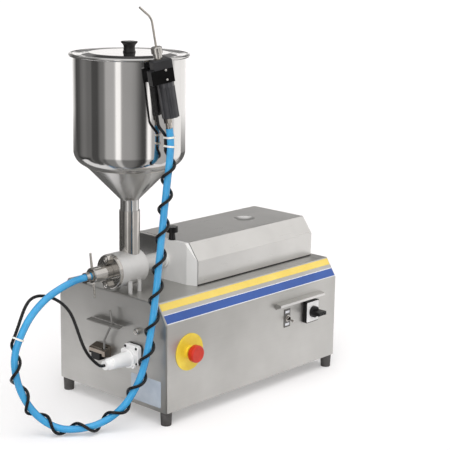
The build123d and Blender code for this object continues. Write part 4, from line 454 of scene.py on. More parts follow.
# Stoved enamel on castings: grey, even, slightly pebbled.
GREY_ENAMEL = Finish(
    "stoved_grey_enamel", "#8a8f93", "#7c8185", 0.42, 0.05, 2.4, 0.06, 40.0, coat=0.1
)
# Extruded soft vinyl hose: clear sky blue that glows at the edges.
HOSE_VINYL = SoftVinyl(
    "extruded_blue_vinyl_hose", "#42a5d9", "#3797cd", 0.24, 0.04, 7.0, 0.01, 40.0,
    coat=0.4, depth_mm=5.0, inside=0.2,
)
# Extruded vinyl cable sheath: black, waxy half gloss with a long highlight.
CABLE_VINYL = SoftVinyl(
    "extruded_black_vinyl_sheath", "#0f0f10", "#09090a", 0.26, 0.04, 3.0, 0.01, 20.0,
    coat=0.2, shine=0.35,
)


def dress(finish: Finish, *nodes: str) -> None:
    """Give solids of the frame a finish in their own material slots.

    Args:
        finish: the finish.
        nodes: names of the solids' nodes.
    """
    for node in nodes:
        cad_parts[node].material_slots[0].material = finish.material()
        log.info("%s finished as %s", node, finish.name)


def add_piece(name: str, shape: BMesh, finish: Finish, body: str) -> Object:
    """Turn a finished mesh into a piece that rides on a body.

    Args:
        name: the piece's name.
        shape: its mesh, which is freed.
        finish: its finish.
        body: the body that carries it.

    Returns:
        The piece.
    """
    bmesh.ops.recalc_face_normals(shape, faces=shape.faces)
    mesh = bpy.data.meshes.new(name)
    shape.to_mesh(mesh)
    shape.free()
    mesh.shade_smooth()
    mesh.set_sharp_from_angle(angle=math.radians(SHARP_FROM))
    mesh.materials.append(finish.material())
    piece = bpy.data.objects.new(name, mesh)
    bpy.context.scene.collection.objects.link(piece)
    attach(piece, body)
    log.info("%s rides on %s", name, body)
    return piece


def turned(degrees: float, axis: str) -> Matrix:
    """Return a turn about one of the axes."""
    return Matrix.Rotation(math.radians(degrees), 4, axis)


def metres(outline: Outline) -> list[Pair]:
    """Turn an outline in millimetres into metres."""
    return [(across * MM, up * MM) for across, up in outline]


def turn(shape: BMesh, profile: list[Pair], place: Matrix, steps: int) -> None:
    """Turn a profile round the local Z axis into a mesh.

    Args:
        shape: mesh that takes the turning.
        profile: radius and height of its points, from axis to axis or round to the first point.
        place: the turning's place in the mesh.
        steps: facets round the axis.
    """
    rings = []
    for number, (radius, height) in enumerate(profile):
        if number and (radius, height) == profile[0]:
            rings.append(rings[0])
            continue
        count = steps if radius > ON_AXIS else 1
        angles = [2 * math.pi * i / steps for i in range(count)]
        spots = [Vector((radius * math.cos(a), radius * math.sin(a), height)) for a in angles]
        rings.append([shape.verts.new(place @ spot) for spot in spots])
    for lower, upper in zip(rings, rings[1:]):
        for i in range(steps):
            k = (i + 1) % steps
            near = [lower[i % len(lower)], lower[k % len(lower)]]
            corners = near + [upper[k % len(upper)], upper[i % len(upper)]]
            face = list(dict.fromkeys(corners))
            if len(face) > 2:
                shape.faces.new(face)


def brace(profile: list[Pair], hold: float = 2 * MM) -> list[Pair]:
    """Add points near both ends of each long run, so that smooth shading keeps the run straight.

    Args:
        profile: radius and height of each point.
        hold: distance of the added points from the ends.

    Returns:
        The profile with the added points.
    """
    braced = [profile[0]]
    for start, end in zip(profile, profile[1:]):
        first, last = Vector(start), Vector(end)
        along = last - first
        if along.length > LONG_RUN * hold:
            step = along.normalized() * hold
            braced += [tuple(first + step), tuple(last - step)]
        braced.append(end)
    return braced


def slab(shape: BMesh, outline: list[Pair], thick: float, edge: float, place: Matrix) -> None:
    """Raise a flat outline into a slab whose upper rim is rounded.

    Args:
        shape: mesh that takes the slab.
        outline: corners in the local XY plane, in order.
        thick: thickness along local Z.
        edge: radius of the upper rim.
        place: the slab's place in the mesh.
    """
    lower = [shape.verts.new(place @ Vector((x, y, 0))) for x, y in outline]
    upper = [shape.verts.new(place @ Vector((x, y, thick))) for x, y in outline]
    shape.faces.new(lower)
    rim = list(shape.faces.new(upper).edges)
    for i in range(len(lower)):
        shape.faces.new((lower[i - 1], lower[i], upper[i], upper[i - 1]))
    shape.normal_update()
    if edge > 0:
        bmesh.ops.bevel(
            shape, geom=rim, offset=edge, segments=RIM_SEGMENTS, profile=0.5, affect="EDGES"
        )


def rounded(width: float, height: float, radius: float, steps: int = 6) -> list[Pair]:
    """Return a rectangle's outline with round corners, centred.

    Args:
        width: size along X.
        height: size along Y.
        radius: corner radius.
        steps: points on each corner.

    Returns:
        The outline's points in order.
    """
    points = []
    for quarter, (sx, sy) in enumerate(((1, 1), (-1, 1), (-1, -1), (1, -1))):
        for step in range(steps + 1):
            angle = math.pi / 2 * (quarter + step / steps)
            x = sx * (width / 2 - radius) + radius * math.cos(angle)
            y = sy * (height / 2 - radius) + radius * math.sin(angle)
            points.append((x, y))
    return points


def axes(origin: Vector, x_axis: Vector, z_axis: Vector) -> Matrix:
    """Return the place whose X and Z axes point as given.

    Args:
        origin: its origin.
        x_axis: its X axis.
        z_axis: its Z axis, square to X.

    Returns:
        The place as a matrix.
    """
    x_axis, z_axis = x_axis.normalized(), z_axis.normalized()
    columns = Matrix((x_axis, z_axis.cross(x_axis), z_axis)).transposed()
    return Matrix.Translation(origin) @ columns.to_4x4()


@dataclass
class Studio:
    """White studio: the photograph's camera, a pale floor, soft lights, toned walls out of view."""

    camera_at: Triple = (-2.1961, -2.1145, 1.1044)
    azimuth: float = -47.40
    elevation: float = 13.03
    roll: float = 0.86
    lens: float = 105.14
    film_width: float = 36.0
    sight: float = 100.0
    floor_size: float = 60.0
    floor_cells: int = 4
    floor_glow: float = 0.20
    floor_tone: str = "#ebe9e9"
    wall_tone: str = "#fffdfb"
    light_tone: str = "#ffffff"
    room_light: float = 0.45
    wall_radius: float = 2.3
    back_radius: float = 5.0
    back_from: float = 122.0
    back_floor: float = 0.16
    floor_share: float = 0.66
    lift: float = 0.5 * MM
    # Between each two angles the floor has its own tone and this share of the wall's tone.
    shaded_floor: tuple[Quad, ...] = ((-122.0, -90.0, 0.05, 0.0), (-56.0, 44.0, 0.0, 0.5))
    # The room by the angle from the camera, positive to its right: tone low on the wall, tone
    # above it, and the distance at which that low tone begins on the floor.
    bays: tuple[Quad, ...] = (
        (-180, 1.15, 0.24, 0.25), (-158, 1.00, 0.24, 0.25), (-146, 0.55, 0.24, 0.25),
        (-134, 0.06, 0.24, 0.25), (-121, 0.10, 0.25, 1.2), (-110, 0.22, 0.25, 1.25),
        (-103, 0.26, 0.25, 1.25), (-97, 0.24, 0.25, 1.2), (-92, 0.20, 0.25, 0.7),
        (-82, 0.20, 0.25, 0.6), (-79, 0.10, 0.25, 0.5), (-66, 0.09, 0.25, 0.5),
        (-60, 0.22, 0.5, 0.7), (-52, 0.26, 0.8, 0.06), (-49, 0.42, 0.8, 0.06),
        (-47, 0.60, 0.8, 0.06), (-31, 0.62, 0.8, 0.06), (-28, 0.85, 0.8, 0.06),
        (-26, 1.55, 0.8, 0.06), (-18, 1.50, 0.8, 0.06), (-15, 0.55, 0.8, 0.06),
        (-13, 0.49, 0.8, 0.06), (3, 0.46, 0.8, 0.06), (11, 0.38, 0.8, 0.06),
        (19, 0.20, 0.8, 0.06), (25, 0.09, 0.8, 0.06), (32, 0.09, 0.8, 0.06),
        (35, 0.8, 0.8, 0.06), (37, 1.60, 0.8, 0.06), (42, 1.45, 0.8, 0.06),
        (45, 0.60, 0.8, 0.7), (84, 0.60, 1.0, 0.6), (90, 0.75, 1.0, 1.2),
        (97, 0.80, 1.0, 1.5), (103, 1.30, 1.0, 1.5), (121, 1.30, 1.0, 1.5),
        (130, 1.30, 0.24, 0.25), (162, 1.15, 0.24, 0.25),
    )
    # Heights of the wall's steps with the shares of the low and the upper tone there.
    side_steps: tuple[Triple, ...] = ((0.0, 1, 0), (0.7, 1, 0), (0.9, 0, 1), (5.0, 0, 1))
    back_steps: tuple[Triple, ...] = (
        (0.0, 1, 0), (0.40, 1, 0), (0.50, 0, 1), (1.02, 0, 1), (1.08, 1, 0), (1.42, 1, 0),
        (1.48, 0, 1), (2.50, 0, 1), (2.80, 0, 0.3), (3.9, 0, 0.3), (4.2, 0, 3), (5.0, 0, 3),
    )
    # Each lamp's direction, strength and spread in degrees: one overhead, one before the machine.
    lamps: tuple[tuple[Triple, float, float], ...] = (
        ((0.15, 0.25, -1.0), 1.5, 60.0),
        ((0.75, 0.60, -0.45), 1.1, 50.0),
    )

    def set_camera(self) -> None:
        """Stand the camera where the photograph was taken."""
        lens = bpy.data.cameras.new("photo_camera")
        lens.lens = self.lens
        lens.sensor_width = self.film_width
        lens.clip_end = self.sight
        camera = bpy.data.objects.new("photo_camera", lens)
        aim = turned(self.azimuth, "Z") @ turned(90 - self.elevation, "X") @ turned(self.roll, "Z")
        camera.matrix_world = Matrix.Translation(self.camera_at) @ aim
        bpy.context.scene.collection.objects.link(camera)
        bpy.context.scene.camera = camera

    def add_stage(self, name: str, shape: BMesh, only_reflected: bool) -> NodeTree:
        """Turn a mesh into a part of the stage with an empty material.

        Args:
            name: its name.
            shape: its mesh, which is freed.
            only_reflected: whether nothing but reflections see it.

        Returns:
            The material's node tree.
        """
        mesh = bpy.data.meshes.new(name)
        shape.to_mesh(mesh)
        shape.free()
        stage = bpy.data.objects.new(name, mesh)
        bpy.context.scene.collection.objects.link(stage)
        if only_reflected:
            stage.visible_camera = False
            stage.visible_diffuse = False
            stage.visible_shadow = False
        made = bpy.data.materials.new(name)
        made.use_nodes = True
        made.node_tree.nodes.clear()
        mesh.materials.append(made)
        return made.node_tree

    def lay_floor(self) -> None:
        """Lay a white floor that keeps the machine's shadow."""
        shape, cells = bmesh.new(), self.floor_cells
        bmesh.ops.create_grid(shape, x_segments=cells, y_segments=cells, size=self.floor_size / 2)
        tree = self.add_stage("white_studio_floor", shape, False)
        strength = {"Strength": self.seen(tree, 0.0, self.floor_glow)}
        glow = add_node(tree, "Emission", {"Color": linear(self.light_tone)}, strength)
        paper = add_node(tree, "BsdfDiffuse", {"Color": linear(self.floor_tone)})
        both = add_node(tree, "AddShader", links={0: glow.outputs[0], 1: paper.outputs[0]})
        add_node(tree, "OutputMaterial", links={"Surface": both.outputs[0]})

    def seen(self, tree: NodeTree, other: float, shown: float) -> NodeSocket:
        """Make a level for rays from the camera, metal or clear plastic, and one for all others.

        Args:
            tree: node tree that takes the nodes.
            other: level for the other rays.
            shown: level for these rays.

        Returns:
            The level.
        """
        path = add_node(tree, "LightPath").outputs
        ray = path["Is Camera Ray"]
        for kind in ("Is Glossy Ray", "Is Transmission Ray"):
            links = {0: ray, 1: path[kind]}
            ray = add_node(tree, "Math", {"operation": "MAXIMUM"}, links).outputs[0]
        levels = {"To Min": other, "To Max": shown}
        return add_node(tree, "MapRange", levels, {"Value": ray}).outputs[0]

    def raise_walls(self) -> None:
        """Stand the room's toned walls round the machine, where only reflections see them."""
        centre = AT_HOPPER.to_translation()
        towards = (Vector((*self.camera_at[:2], 0)) - centre).normalized()
        shape = bmesh.new()
        level = shape.verts.layers.float.new("tone")
        columns = []
        for angle, low, high, floor_from in self.bays:
            spoke = turned(angle, "Z") @ towards
            behind = abs(angle) > self.back_from
            reach = self.back_radius if behind else self.wall_radius
            ground = self.back_floor if behind else low
            for first, last, tone, share in self.shaded_floor:
                if first < angle < last:
                    ground = tone + share * low
            rows = [(length, 0.0, ground) for length in (floor_from, reach * self.floor_share)]
            for height, of_low, of_high in self.back_steps if behind else self.side_steps:
                rows.append((reach, height, low * of_low + high * of_high))
            column = []
            for length, height, tone in rows:
                spot = centre + spoke * length + Vector((0, 0, height + self.lift))
                corner = shape.verts.new(spot)
                corner[level] = tone
                column.append(corner)
            columns.append(column)
        for near, far in zip(columns, columns[1:] + columns[:1]):
            # Where a side meets the far wall, only floor, wall's foot and wall's top are joined.
            if len(near) != len(far):
                near, far = near[:3] + near[-1:], far[:3] + far[-1:]
            for i in range(len(near) - 1):
                shape.faces.new((near[i], far[i], far[i + 1], near[i + 1]))
        tree = self.add_stage("toned_studio_walls", shape, True)
        tone = add_node(tree, "Attribute", {"attribute_name": "tone"})
        strength = {"Strength": tone.outputs["Fac"]}
        glow = add_node(tree, "Emission", {"Color": linear(self.wall_tone)}, strength)
        add_node(tree, "OutputMaterial", links={"Surface": glow.outputs[0]})

    def light_room(self) -> None:
        """Fill the room with plain white light and set the broad lamps."""
        world = bpy.data.worlds.new("white_room")
        world.use_nodes = True
        bpy.context.scene.world = world
        tree = world.node_tree
        tree.nodes.clear()
        strength = {"Strength": self.seen(tree, self.room_light, 1.0)}
        sky = add_node(tree, "Background", {"Color": linear(self.light_tone)}, strength)
        add_node(tree, "OutputWorld", links={"Surface": sky.outputs[0]})
        for number, (aim, strength, spread) in enumerate(self.lamps):
            lamp = bpy.data.lights.new(f"broad_lamp_{number}", "SUN")
            lamp.energy = strength
            lamp.angle = math.radians(spread)
            light = bpy.data.objects.new(lamp.name, lamp)
            light.rotation_mode = "QUATERNION"
            light.rotation_quaternion = Vector(aim).to_track_quat("-Z", "Y")
            light.visible_glossy = False
            bpy.context.scene.collection.objects.link(light)

    def build(self) -> None:
        """Set up the whole studio."""
        bpy.context.scene.view_settings.view_transform = "Standard"
        self.set_camera()
        self.lay_floor()
        self.raise_walls()
        self.light_room()


@dataclass
class GunFrame:
    """Place of the hand gun: it hangs on the hopper's wall and leans along it."""

    bearing: float = -108.0
    distance: float = 0.152
    height: float = 0.794
    lean: float = 10.4

    def place(self) -> Matrix:
        """Return the gun's own place: Z up along its tube, Y at the hopper.

        Returns:
            The place as a matrix.
        """
        out = Matrix.Translation((0, -self.distance, self.height))
        return AT_HOPPER @ turned(90 + self.bearing, "Z") @ out @ turned(-self.lean, "Y")


@dataclass
class FlexibleLines:
    """Blue hose from the outlet to the floor and up to the gun, and the cable wound round it."""

    hose_diameter: float = 16 * MM
    hose_length: float = 1264.2 * MM
    cable_diameter: float = 7 * MM
    cable_length: float = 1935.8 * MM
    wind_gap: float = 0.6 * MM
    wind_turns: float = 13.5
    wind_start: float = 236 * MM
    wind_end: float = 46 * MM
    wind_tail: float = 14 * MM
    wind_ramp: float = 12 * MM
    wind_phase: float = -110.0
    wind_tighter: float = 0.12
    points_per_turn: int = 16
    turn_samples: int = 8
    along_facets: int = 10
    round_facets: int = 6
    wind_aside: Triple = (0.8, 0.6, 0.0)
    entry_side: float = -24.5 * MM
    entry_heights: tuple[float, ...] = (-116 * MM, -104 * MM, -70 * MM, -25.5 * MM)
    hose_route: tuple[Triple, ...] = (
        (-0.3250, 0.0115, 0.3310), (-0.3620, 0.0115, 0.3310), (-0.3950, 0.0140, 0.3224),
        (-0.4216, 0.0160, 0.3131), (-0.4416, 0.0175, 0.3042), (-0.4610, 0.0195, 0.2913),
        (-0.4772, 0.0210, 0.2776), (-0.4922, 0.0225, 0.2614), (-0.5051, 0.0240, 0.2415),
        (-0.5158, 0.0255, 0.2211), (-0.5239, 0.0270, 0.2002), (-0.5276, 0.0280, 0.1784),
        (-0.5256, 0.0285, 0.1551), (-0.5196, 0.0285, 0.1274), (-0.5114, 0.0260, 0.1000),
        (-0.5004, 0.0200, 0.0750), (-0.4874, 0.0104, 0.0516), (-0.4734, -0.0034, 0.0340),
        (-0.4595, -0.0175, 0.0224), (-0.4460, -0.0325, 0.0166), (-0.4315, -0.0462, 0.0156),
        (-0.4110, -0.0605, 0.0162), (-0.3847, -0.0735, 0.0200), (-0.3575, -0.0860, 0.0309),
        (-0.3386, -0.0960, 0.0458), (-0.3227, -0.1055, 0.0649), (-0.3096, -0.1135, 0.0888),
        (-0.2993, -0.1200, 0.1125), (-0.2905, -0.1265, 0.1450), (-0.2815, -0.1320, 0.1940),
        (-0.2735, -0.1360, 0.2500), (-0.2645, -0.1383, 0.3180), (-0.2555, -0.1388, 0.3930),
        (-0.2460, -0.1396, 0.4700), (-0.2370, -0.1410, 0.5450), (-0.2295, -0.1420, 0.6020),
        (-0.2249, -0.1415, 0.6446), (-0.2294, -0.1401, 0.6706),
    )
    cable_route: tuple[Triple, ...] = (
        (-0.3460, -0.0585, 0.1450), (-0.3550, -0.0585, 0.1450), (-0.3645, -0.0584, 0.1506),
        (-0.3747, -0.0580, 0.1602), (-0.3839, -0.0570, 0.1700), (-0.3917, -0.0545, 0.1811),
        (-0.3968, -0.0500, 0.1943), (-0.3994, -0.0440, 0.2083), (-0.3999, -0.0350, 0.2256),
        (-0.3998, -0.0240, 0.2459), (-0.4000, -0.0120, 0.2639), (-0.4020, 0.0010, 0.2765),
        (-0.4064, 0.0150, 0.2865), (-0.4150, 0.0295, 0.2950), (-0.4280, 0.0420, 0.3005),
        (-0.4450, 0.0495, 0.3022), (-0.4640, 0.0495, 0.2985), (-0.4815, 0.0445, 0.2865),
        (-0.4970, 0.0380, 0.2700), (-0.5146, 0.0298, 0.2490), (-0.5219, 0.0310, 0.2326),
    )

    def line(self, name: str, points: list, diameter: float) -> Object:
        """Lay one smooth line with the route's points as its control points.

        Args:
            name: its name.
            points: the control points.
            diameter: its thickness, or 0 for a bare line.

        Returns:
            The line's object.
        """
        curve = bpy.data.curves.new(name, "CURVE")
        curve.dimensions = "3D"
        spline = curve.splines.new("NURBS")
        spline.points.add(len(points) - 1)
        for point, place in zip(spline.points, points):
            point.co = (*place, 1.0)
        spline.order_u = 3
        spline.use_endpoint_u = True
        curve.resolution_u = self.along_facets
        curve.bevel_depth = diameter / 2
        curve.bevel_resolution = self.round_facets
        laid = bpy.data.objects.new(name, curve)
        bpy.context.scene.collection.objects.link(laid)
        return laid

    def trace(self) -> list[Vector]:
        """Return points along the hose's smooth line.

        Returns:
            The line's points from the outlet to the gun.
        """
        bare = self.line("hose_trace", list(self.hose_route), 0.0)
        mesh = bpy.data.meshes.new_from_object(bare)
        points = [vertex.co.copy() for vertex in mesh.vertices]
        bpy.data.meshes.remove(mesh)
        curve = bare.data
        bpy.data.objects.remove(bare)
        bpy.data.curves.remove(curve)
        return points

    def winding(self) -> list[Vector]:
        """Return the cable's points round the hose.

        Returns:
            The points from the first tie to the gun.
        """
        points = self.trace()
        runs = [(b - a).length for a, b in zip(points, points[1:])]
        fit = sum(runs) / self.hose_length
        start, stop = self.wind_start, self.hose_length - self.wind_tail
        end = self.hose_length - self.wind_end
        # A smooth line of this order runs inside the ring of its control points, by this share.
        inside = 0.75 + 0.25 * math.cos(2 * math.pi / self.points_per_turn)
        radius = (self.hose_diameter / 2 + self.wind_gap + self.cable_diameter / 2) / inside
        steps = math.ceil(self.wind_turns * self.points_per_turn)
        step = (stop - start) / steps
        # The rate of turning is eased at both ends and grows towards the gun.
        fine, sums = self.turn_samples, [0.0]
        for i in range(steps * fine):
            middle = start + (i + 0.5) * step / fine
            eased = max(0.0, min(1.0, min(middle - start, end - middle) / self.wind_ramp))
            share = (middle - start) / (end - start)
            sums.append(sums[-1] + eased * (1 + self.wind_tighter * (2 * share - 1)))
        wound = []
        for i in range(steps + 1):
            centre, forward = self.along(points, runs, (start + i * step) * fit)
            aside = Vector(self.wind_aside)
            first = (aside - forward * aside.dot(forward)).normalized()
            second = forward.cross(first)
            turns = self.wind_turns * sums[i * fine] / sums[-1]
            angle = math.radians(self.wind_phase) + 2 * math.pi * turns
            wound.append(centre + (first * math.cos(angle) + second * math.sin(angle)) * radius)
        return wound

    def along(
        self, points: list[Vector], runs: list[float], distance: float
    ) -> tuple[Vector, Vector]:
        """Return the place and direction at a distance along a line.

        Args:
            points: the line's points.
            runs: lengths between them.
            distance: distance from the first.

        Returns:
            Place and direction.
        """
        index = 0
        while index < len(runs) - 1 and distance > runs[index]:
            distance -= runs[index]
            index += 1
        before, after = points[max(index - 1, 0)], points[min(index + 2, len(points) - 1)]
        share = distance / runs[index]
        return points[index].lerp(points[index + 1], share), (after - before).normalized()

    def build(self) -> None:
        """Lay the hose and the cable in place of their solids."""
        hose = self.line("blue_hose", list(self.hose_route), self.hose_diameter)
        hose.data.materials.append(HOSE_VINYL.material())
        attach(hose, "machine")
        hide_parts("hose")
        gun = GunFrame().place()
        entry = [gun @ Vector((self.entry_side, 0, height)) for height in self.entry_heights]
        route = [Vector(point) for point in self.cable_route] + self.winding() + entry
        cable = self.line("control_cable_sheath", route, self.cable_diameter)
        cable.data.materials.append(CABLE_VINYL.material())
        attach(cable, "machine")
        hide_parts("control_cable", "cable_winding")
        dress(NATURAL_NYLON, "cable_ties")
        dress(BUFFED_BAR, "hose_clamp")
        log.info("hose and control cable laid")


@dataclass
class CaseShell:
    """Folded case on rubber feet: sheet, film stripes with white edging, foil plate, visor."""

    stripe_plane_at: Triple = (0.047, -0.1285, 0.282)
    slope_run: float = 30 * MM
    slope_rise: float = 45 * MM
    stripe_length: float = 592 * MM
    blue_start: float = 31 * MM
    blue_width: float = 19.5 * MM
    edging: float = 1.7 * MM
    film: float = 0.3 * MM
    plate_width: float = 96 * MM
    plate_height: float = 62 * MM
    plate_corner: float = 3 * MM
    plate_edge: float = 0.1 * MM
    plate_at: Triple = (-0.253, -0.0935, 0.0725)

    def edge_stripe(self) -> None:
        """Run a white line along both edges of the blue stripe."""
        upward = Vector((0, -self.slope_rise, self.slope_run))
        place = axes(Vector(self.stripe_plane_at), Vector((1, 0, 0)), upward)
        shape = bmesh.new()
        half = self.stripe_length / 2
        for foot in (-self.blue_start, -self.blue_start - self.blue_width - self.edging):
            top = foot + self.edging
            corners = [(-half, foot), (half, foot), (half, top), (-half, top)]
            slab(shape, corners, self.film, 0.0, place)
        add_piece("stripe_edging", shape, WHITE_FILM, "machine")

    def stick_plate(self) -> None:
        """Stick a blank foil plate on the pump end."""
        shape = bmesh.new()
        outline = rounded(self.plate_width, self.plate_height, self.plate_corner)
        slab(shape, outline, self.film, self.plate_edge, axes(Vector(self.plate_at), *ON_END))
        add_piece("blank_foil_plate", shape, FOIL_PLATE, "machine")

    def build(self) -> None:
        """Dress the case and add its trim."""
        dress(SATIN_SHEET, "case_body", "base_plate")
        # The visor takes the paler copy of the sheet, as painted light.
        dress(SATIN_SHEET_PAINTED_PALER, "switch_visor")
        dress(MOULDED_RUBBER, "feet")
        dress(YELLOW_FILM, "yellow_stripe")
        dress(BLUE_FILM, "blue_stripe")
        self.edge_stripe()
        self.stick_plate()


@dataclass
class DriveHood:
    """Hood over the drive, the panel that carries the pump, and what they hide."""

    def build(self) -> None:
        """Dress the hood, the panel and the drive."""
        # The hood takes the paler copy of the case's sheet, as painted light.
        dress(SATIN_SHEET_PAINTED_PALER, "hood")
        # The panel is pale on its near part as painted light, and a dark mirror on its far part as
        # painted shade.
        dress(PLATE_PAINTED_LIGHT_AND_SHADE, "pump_support")
        dress(SEAL_RUBBER, "hood_edge_seal", "shaft_seal", "cover_seal")
        dress(BLACK_PHENOLIC, "thumb_screw")
        dress(GREY_ENAMEL, "motor", "gearbox")
        dress(SATIN_SHEET, "motor_bracket")
        dress(TURNED_BAR, "drive_coupling")
        dress(WHITE_MOULDING, "control_box")


@dataclass
class GearPump:
    """Gear pump with its feed sleeve, cover, legs and outlet union."""

    def build(self) -> None:
        """Dress the pump."""
        dress(BLASTED_CASTING, "pump_body", "pump_legs")
        dress(BUFFED_BAR, "cap_nuts", "outlet_nut", "pump_cover", "feed_sleeve")
        dress(TURNED_BAR, "drive_gear", "idler_gear", "tommy_bars", "hose_tail")


@dataclass
class HopperSet:
    """Spun hopper with a round knuckle under its wall and a weld below it, grooved lid and knob."""

    hopper_facets: int = 160
    ring_facets: int = 128
    knob_facets: int = 64
    sheet: float = 2 * MM
    wall_radius: float = 125 * MM
    neck_radius: float = 21 * MM
    neck_top: float = 489 * MM
    rim: float = 815 * MM
    knuckle: float = 35.4 * MM
    knuckle_height: float = 602.8 * MM
    knuckle_angles: tuple[int, ...] = tuple(range(-60, 1, 6))
    weld_at: Pair = (96 * MM, 565.4 * MM)
    weld: float = 0.7 * MM
    weld_angles: tuple[int, ...] = tuple(range(-180, 180, 20))
    bead: float = 3.5 * MM
    bead_at: Pair = (130.5 * MM, 814.5 * MM)
    bead_angles: tuple[int, ...] = tuple(range(205, 531, 25))
    # Corners of the cone's inner face at weld and neck, in sheets aside of and above its outer.
    inner_corners: Outline = ((-0.6, 0.85), (-1.0, 0.45))
    lid_top: float = 819.5 * MM
    # Radius and height of the lid's profile in millimetres, over crown and groove and back below.
    lid: Outline = (
        (0, 819.5), (88, 819.5), (90, 819.35), (92, 819.0), (106, 815.95), (108, 815.7),
        (110, 815.75), (125.6, 817.1), (126.3, 816.9), (126.5, 816.4), (126.4, 815.2),
        (125.8, 815.05), (124, 815.6), (109.5, 814.4), (106, 814.55), (91.5, 817.6), (88, 818.1),
        (0, 818.1),
    )
    lid_ring: Outline = (
        (118.75, 803), (120.25, 803), (120.25, 815.9), (118.75, 815.9), (118.75, 803),
    )
    # Radius and height of the knob's turned profile in millimetres, from the lid up.
    knob: Outline = (
        (0, 0), (13.8, 0), (14.2, 0.4), (14.2, 2.2), (13.7, 2.8), (13.2, 3.4), (12.8, 8),
        (12.6, 12), (13.0, 14.5), (14.2, 17.0), (16.0, 19.2), (17.6, 20.6), (18.6, 21.8),
        (18.8, 22.8), (18.5, 23.6), (17.6, 24.2), (15.0, 24.5), (0, 24.5),
    )

    @staticmethod
    def arc(centre: Pair, radius: float, angles: tuple[int, ...]) -> list[Pair]:
        """Return the points of an arc in a profile.

        Args:
            centre: radius and height of its centre.
            radius: its radius.
            angles: the points' angles in degrees, up from outwards.

        Returns:
            Radius and height of each point.
        """
        out, up = centre
        turns = [math.radians(angle) for angle in angles]
        return [(out + radius * math.cos(a), up + radius * math.sin(a)) for a in turns]

    def spin_hopper(self) -> None:
        """Spin the hopper from its neck over cone, knuckle, wall and rolled rim and back inside."""
        foot, sheet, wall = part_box("hopper")[0][2], self.sheet, self.wall_radius
        centre = (wall - self.knuckle, self.knuckle_height)
        neck = (self.neck_radius, self.neck_top)
        profile = [(self.neck_radius, foot), neck, self.weld_at]
        profile += self.arc(centre, self.knuckle, self.knuckle_angles)
        profile += [(wall, self.rim - 2 * sheet), (wall + sheet, self.rim - sheet)]
        profile += self.arc(self.bead_at, self.bead, self.bead_angles)
        profile += [(wall, self.rim), (wall - sheet, self.rim - sheet)]
        profile += self.arc(centre, self.knuckle - sheet, self.knuckle_angles)[::-1]
        for (radius, height), (aside, up) in zip((self.weld_at, neck), self.inner_corners):
            profile.append((radius + sheet * aside, height + sheet * up))
        profile.append((self.neck_radius - sheet, foot))
        shape = bmesh.new()
        turn(shape, brace(profile + profile[:1]), AT_HOPPER, self.hopper_facets)
        hopper = add_piece("spun_hopper", shape, BUFFED_SHEET, "machine")
        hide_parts("hopper")

    def add_weld(self) -> None:
        """Run the weld's low bead round the top of the cone."""
        shape = bmesh.new()
        bead = self.arc(self.weld_at, self.weld, self.weld_angles)
        turn(shape, bead + bead[:1], AT_HOPPER, self.ring_facets)
        add_piece("hopper_weld", shape, TURNED_BAR, "machine")

    def spin_lid(self) -> None:
        """Spin the lid with the groove round its crown, and the ring in the hopper's mouth."""
        shape = bmesh.new()
        for outline in (self.lid, self.lid_ring):
            turn(shape, brace(metres(outline)), AT_HOPPER, self.ring_facets)
        lid = add_piece("spun_lid", shape, BUFFED_LID, "hopper_lid")
        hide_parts("lid")

    def turn_knob(self) -> None:
        """Turn the knob in place of its plainer solid."""
        shape = bmesh.new()
        place = Matrix.Translation((*HOPPER_AXIS, self.lid_top))
        turn(shape, metres(self.knob), place, self.knob_facets)
        knob = add_piece("turned_lid_knob", shape, BLACK_PHENOLIC, "hopper_lid")
        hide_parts("lid_knob")

    def build(self) -> None:
        """Make the hopper, its lid and the knob."""
        self.spin_hopper()
        self.add_weld()
        self.spin_lid()
        self.turn_knob()


@dataclass
class OperatorPanel:
    """Stop button, toggle and main switch on the operator's side."""

    front: float = -0.1585
    toggle_at: Pair = (0.158, 0.168)
    plate_thick: float = 1.2 * MM
    window_width: float = 15 * MM
    window_height: float = 6 * MM
    window_corner: float = 1 * MM
    window_thick: float = 0.2 * MM
    window_rise: float = 15.5 * MM
    switch_at: Pair = (0.244, 0.169)
    knob_out: float = 43 * MM
    pointer_aside: float = 6 * MM
    pointer_length: float = 11 * MM
    pointer_width: float = 2 * MM
    pointer_corner: float = 0.9 * MM
    pointer_thick: float = 0.1 * MM

    def facing(self, x: float, z: float, out: float) -> Matrix:
        """Return a place on the operator's side that faces the operator."""
        return axes(Vector((x, self.front - out, z)), *ON_FRONT)

    def add_windows(self) -> None:
        """Set two blank white windows in the toggle's plate."""
        shape = bmesh.new()
        outline = rounded(self.window_width, self.window_height, self.window_corner)
        for rise in (self.window_rise, -self.window_rise):
            place = self.facing(self.toggle_at[0], self.toggle_at[1] + rise, self.plate_thick)
            slab(shape, outline, self.window_thick, 0.0, place)
        add_piece("toggle_windows", shape, WHITE_FILM, "machine")

    def add_pointer(self) -> None:
        """Set a white pointer in the main switch's knob."""
        shape = bmesh.new()
        x, z = self.switch_at
        place = self.facing(x + self.pointer_aside, z, self.knob_out - self.pointer_thick)
        outline = rounded(self.pointer_length, self.pointer_width, self.pointer_corner)
        slab(shape, outline, self.pointer_thick, 0.0, place)
        add_piece("switch_pointer", shape, WHITE_FILM, "main_switch_knob")

    def build(self) -> None:
        """Dress the controls and add their marks."""
        dress(YELLOW_ABS, "estop_disc", "estop_body")
        dress(RED_ABS, "estop_button", "estop_plunger")
        dress(GREY_LAMINATE, "toggle_plate")
        dress(BUFFED_BAR, "toggle_body", "toggle_lever")
        dress(BLACK_NYLON, "main_switch_base", "main_switch_knob")
        dress(WHITE_MOULDING, "main_switch_plate")
        self.add_windows()
        self.add_pointer()


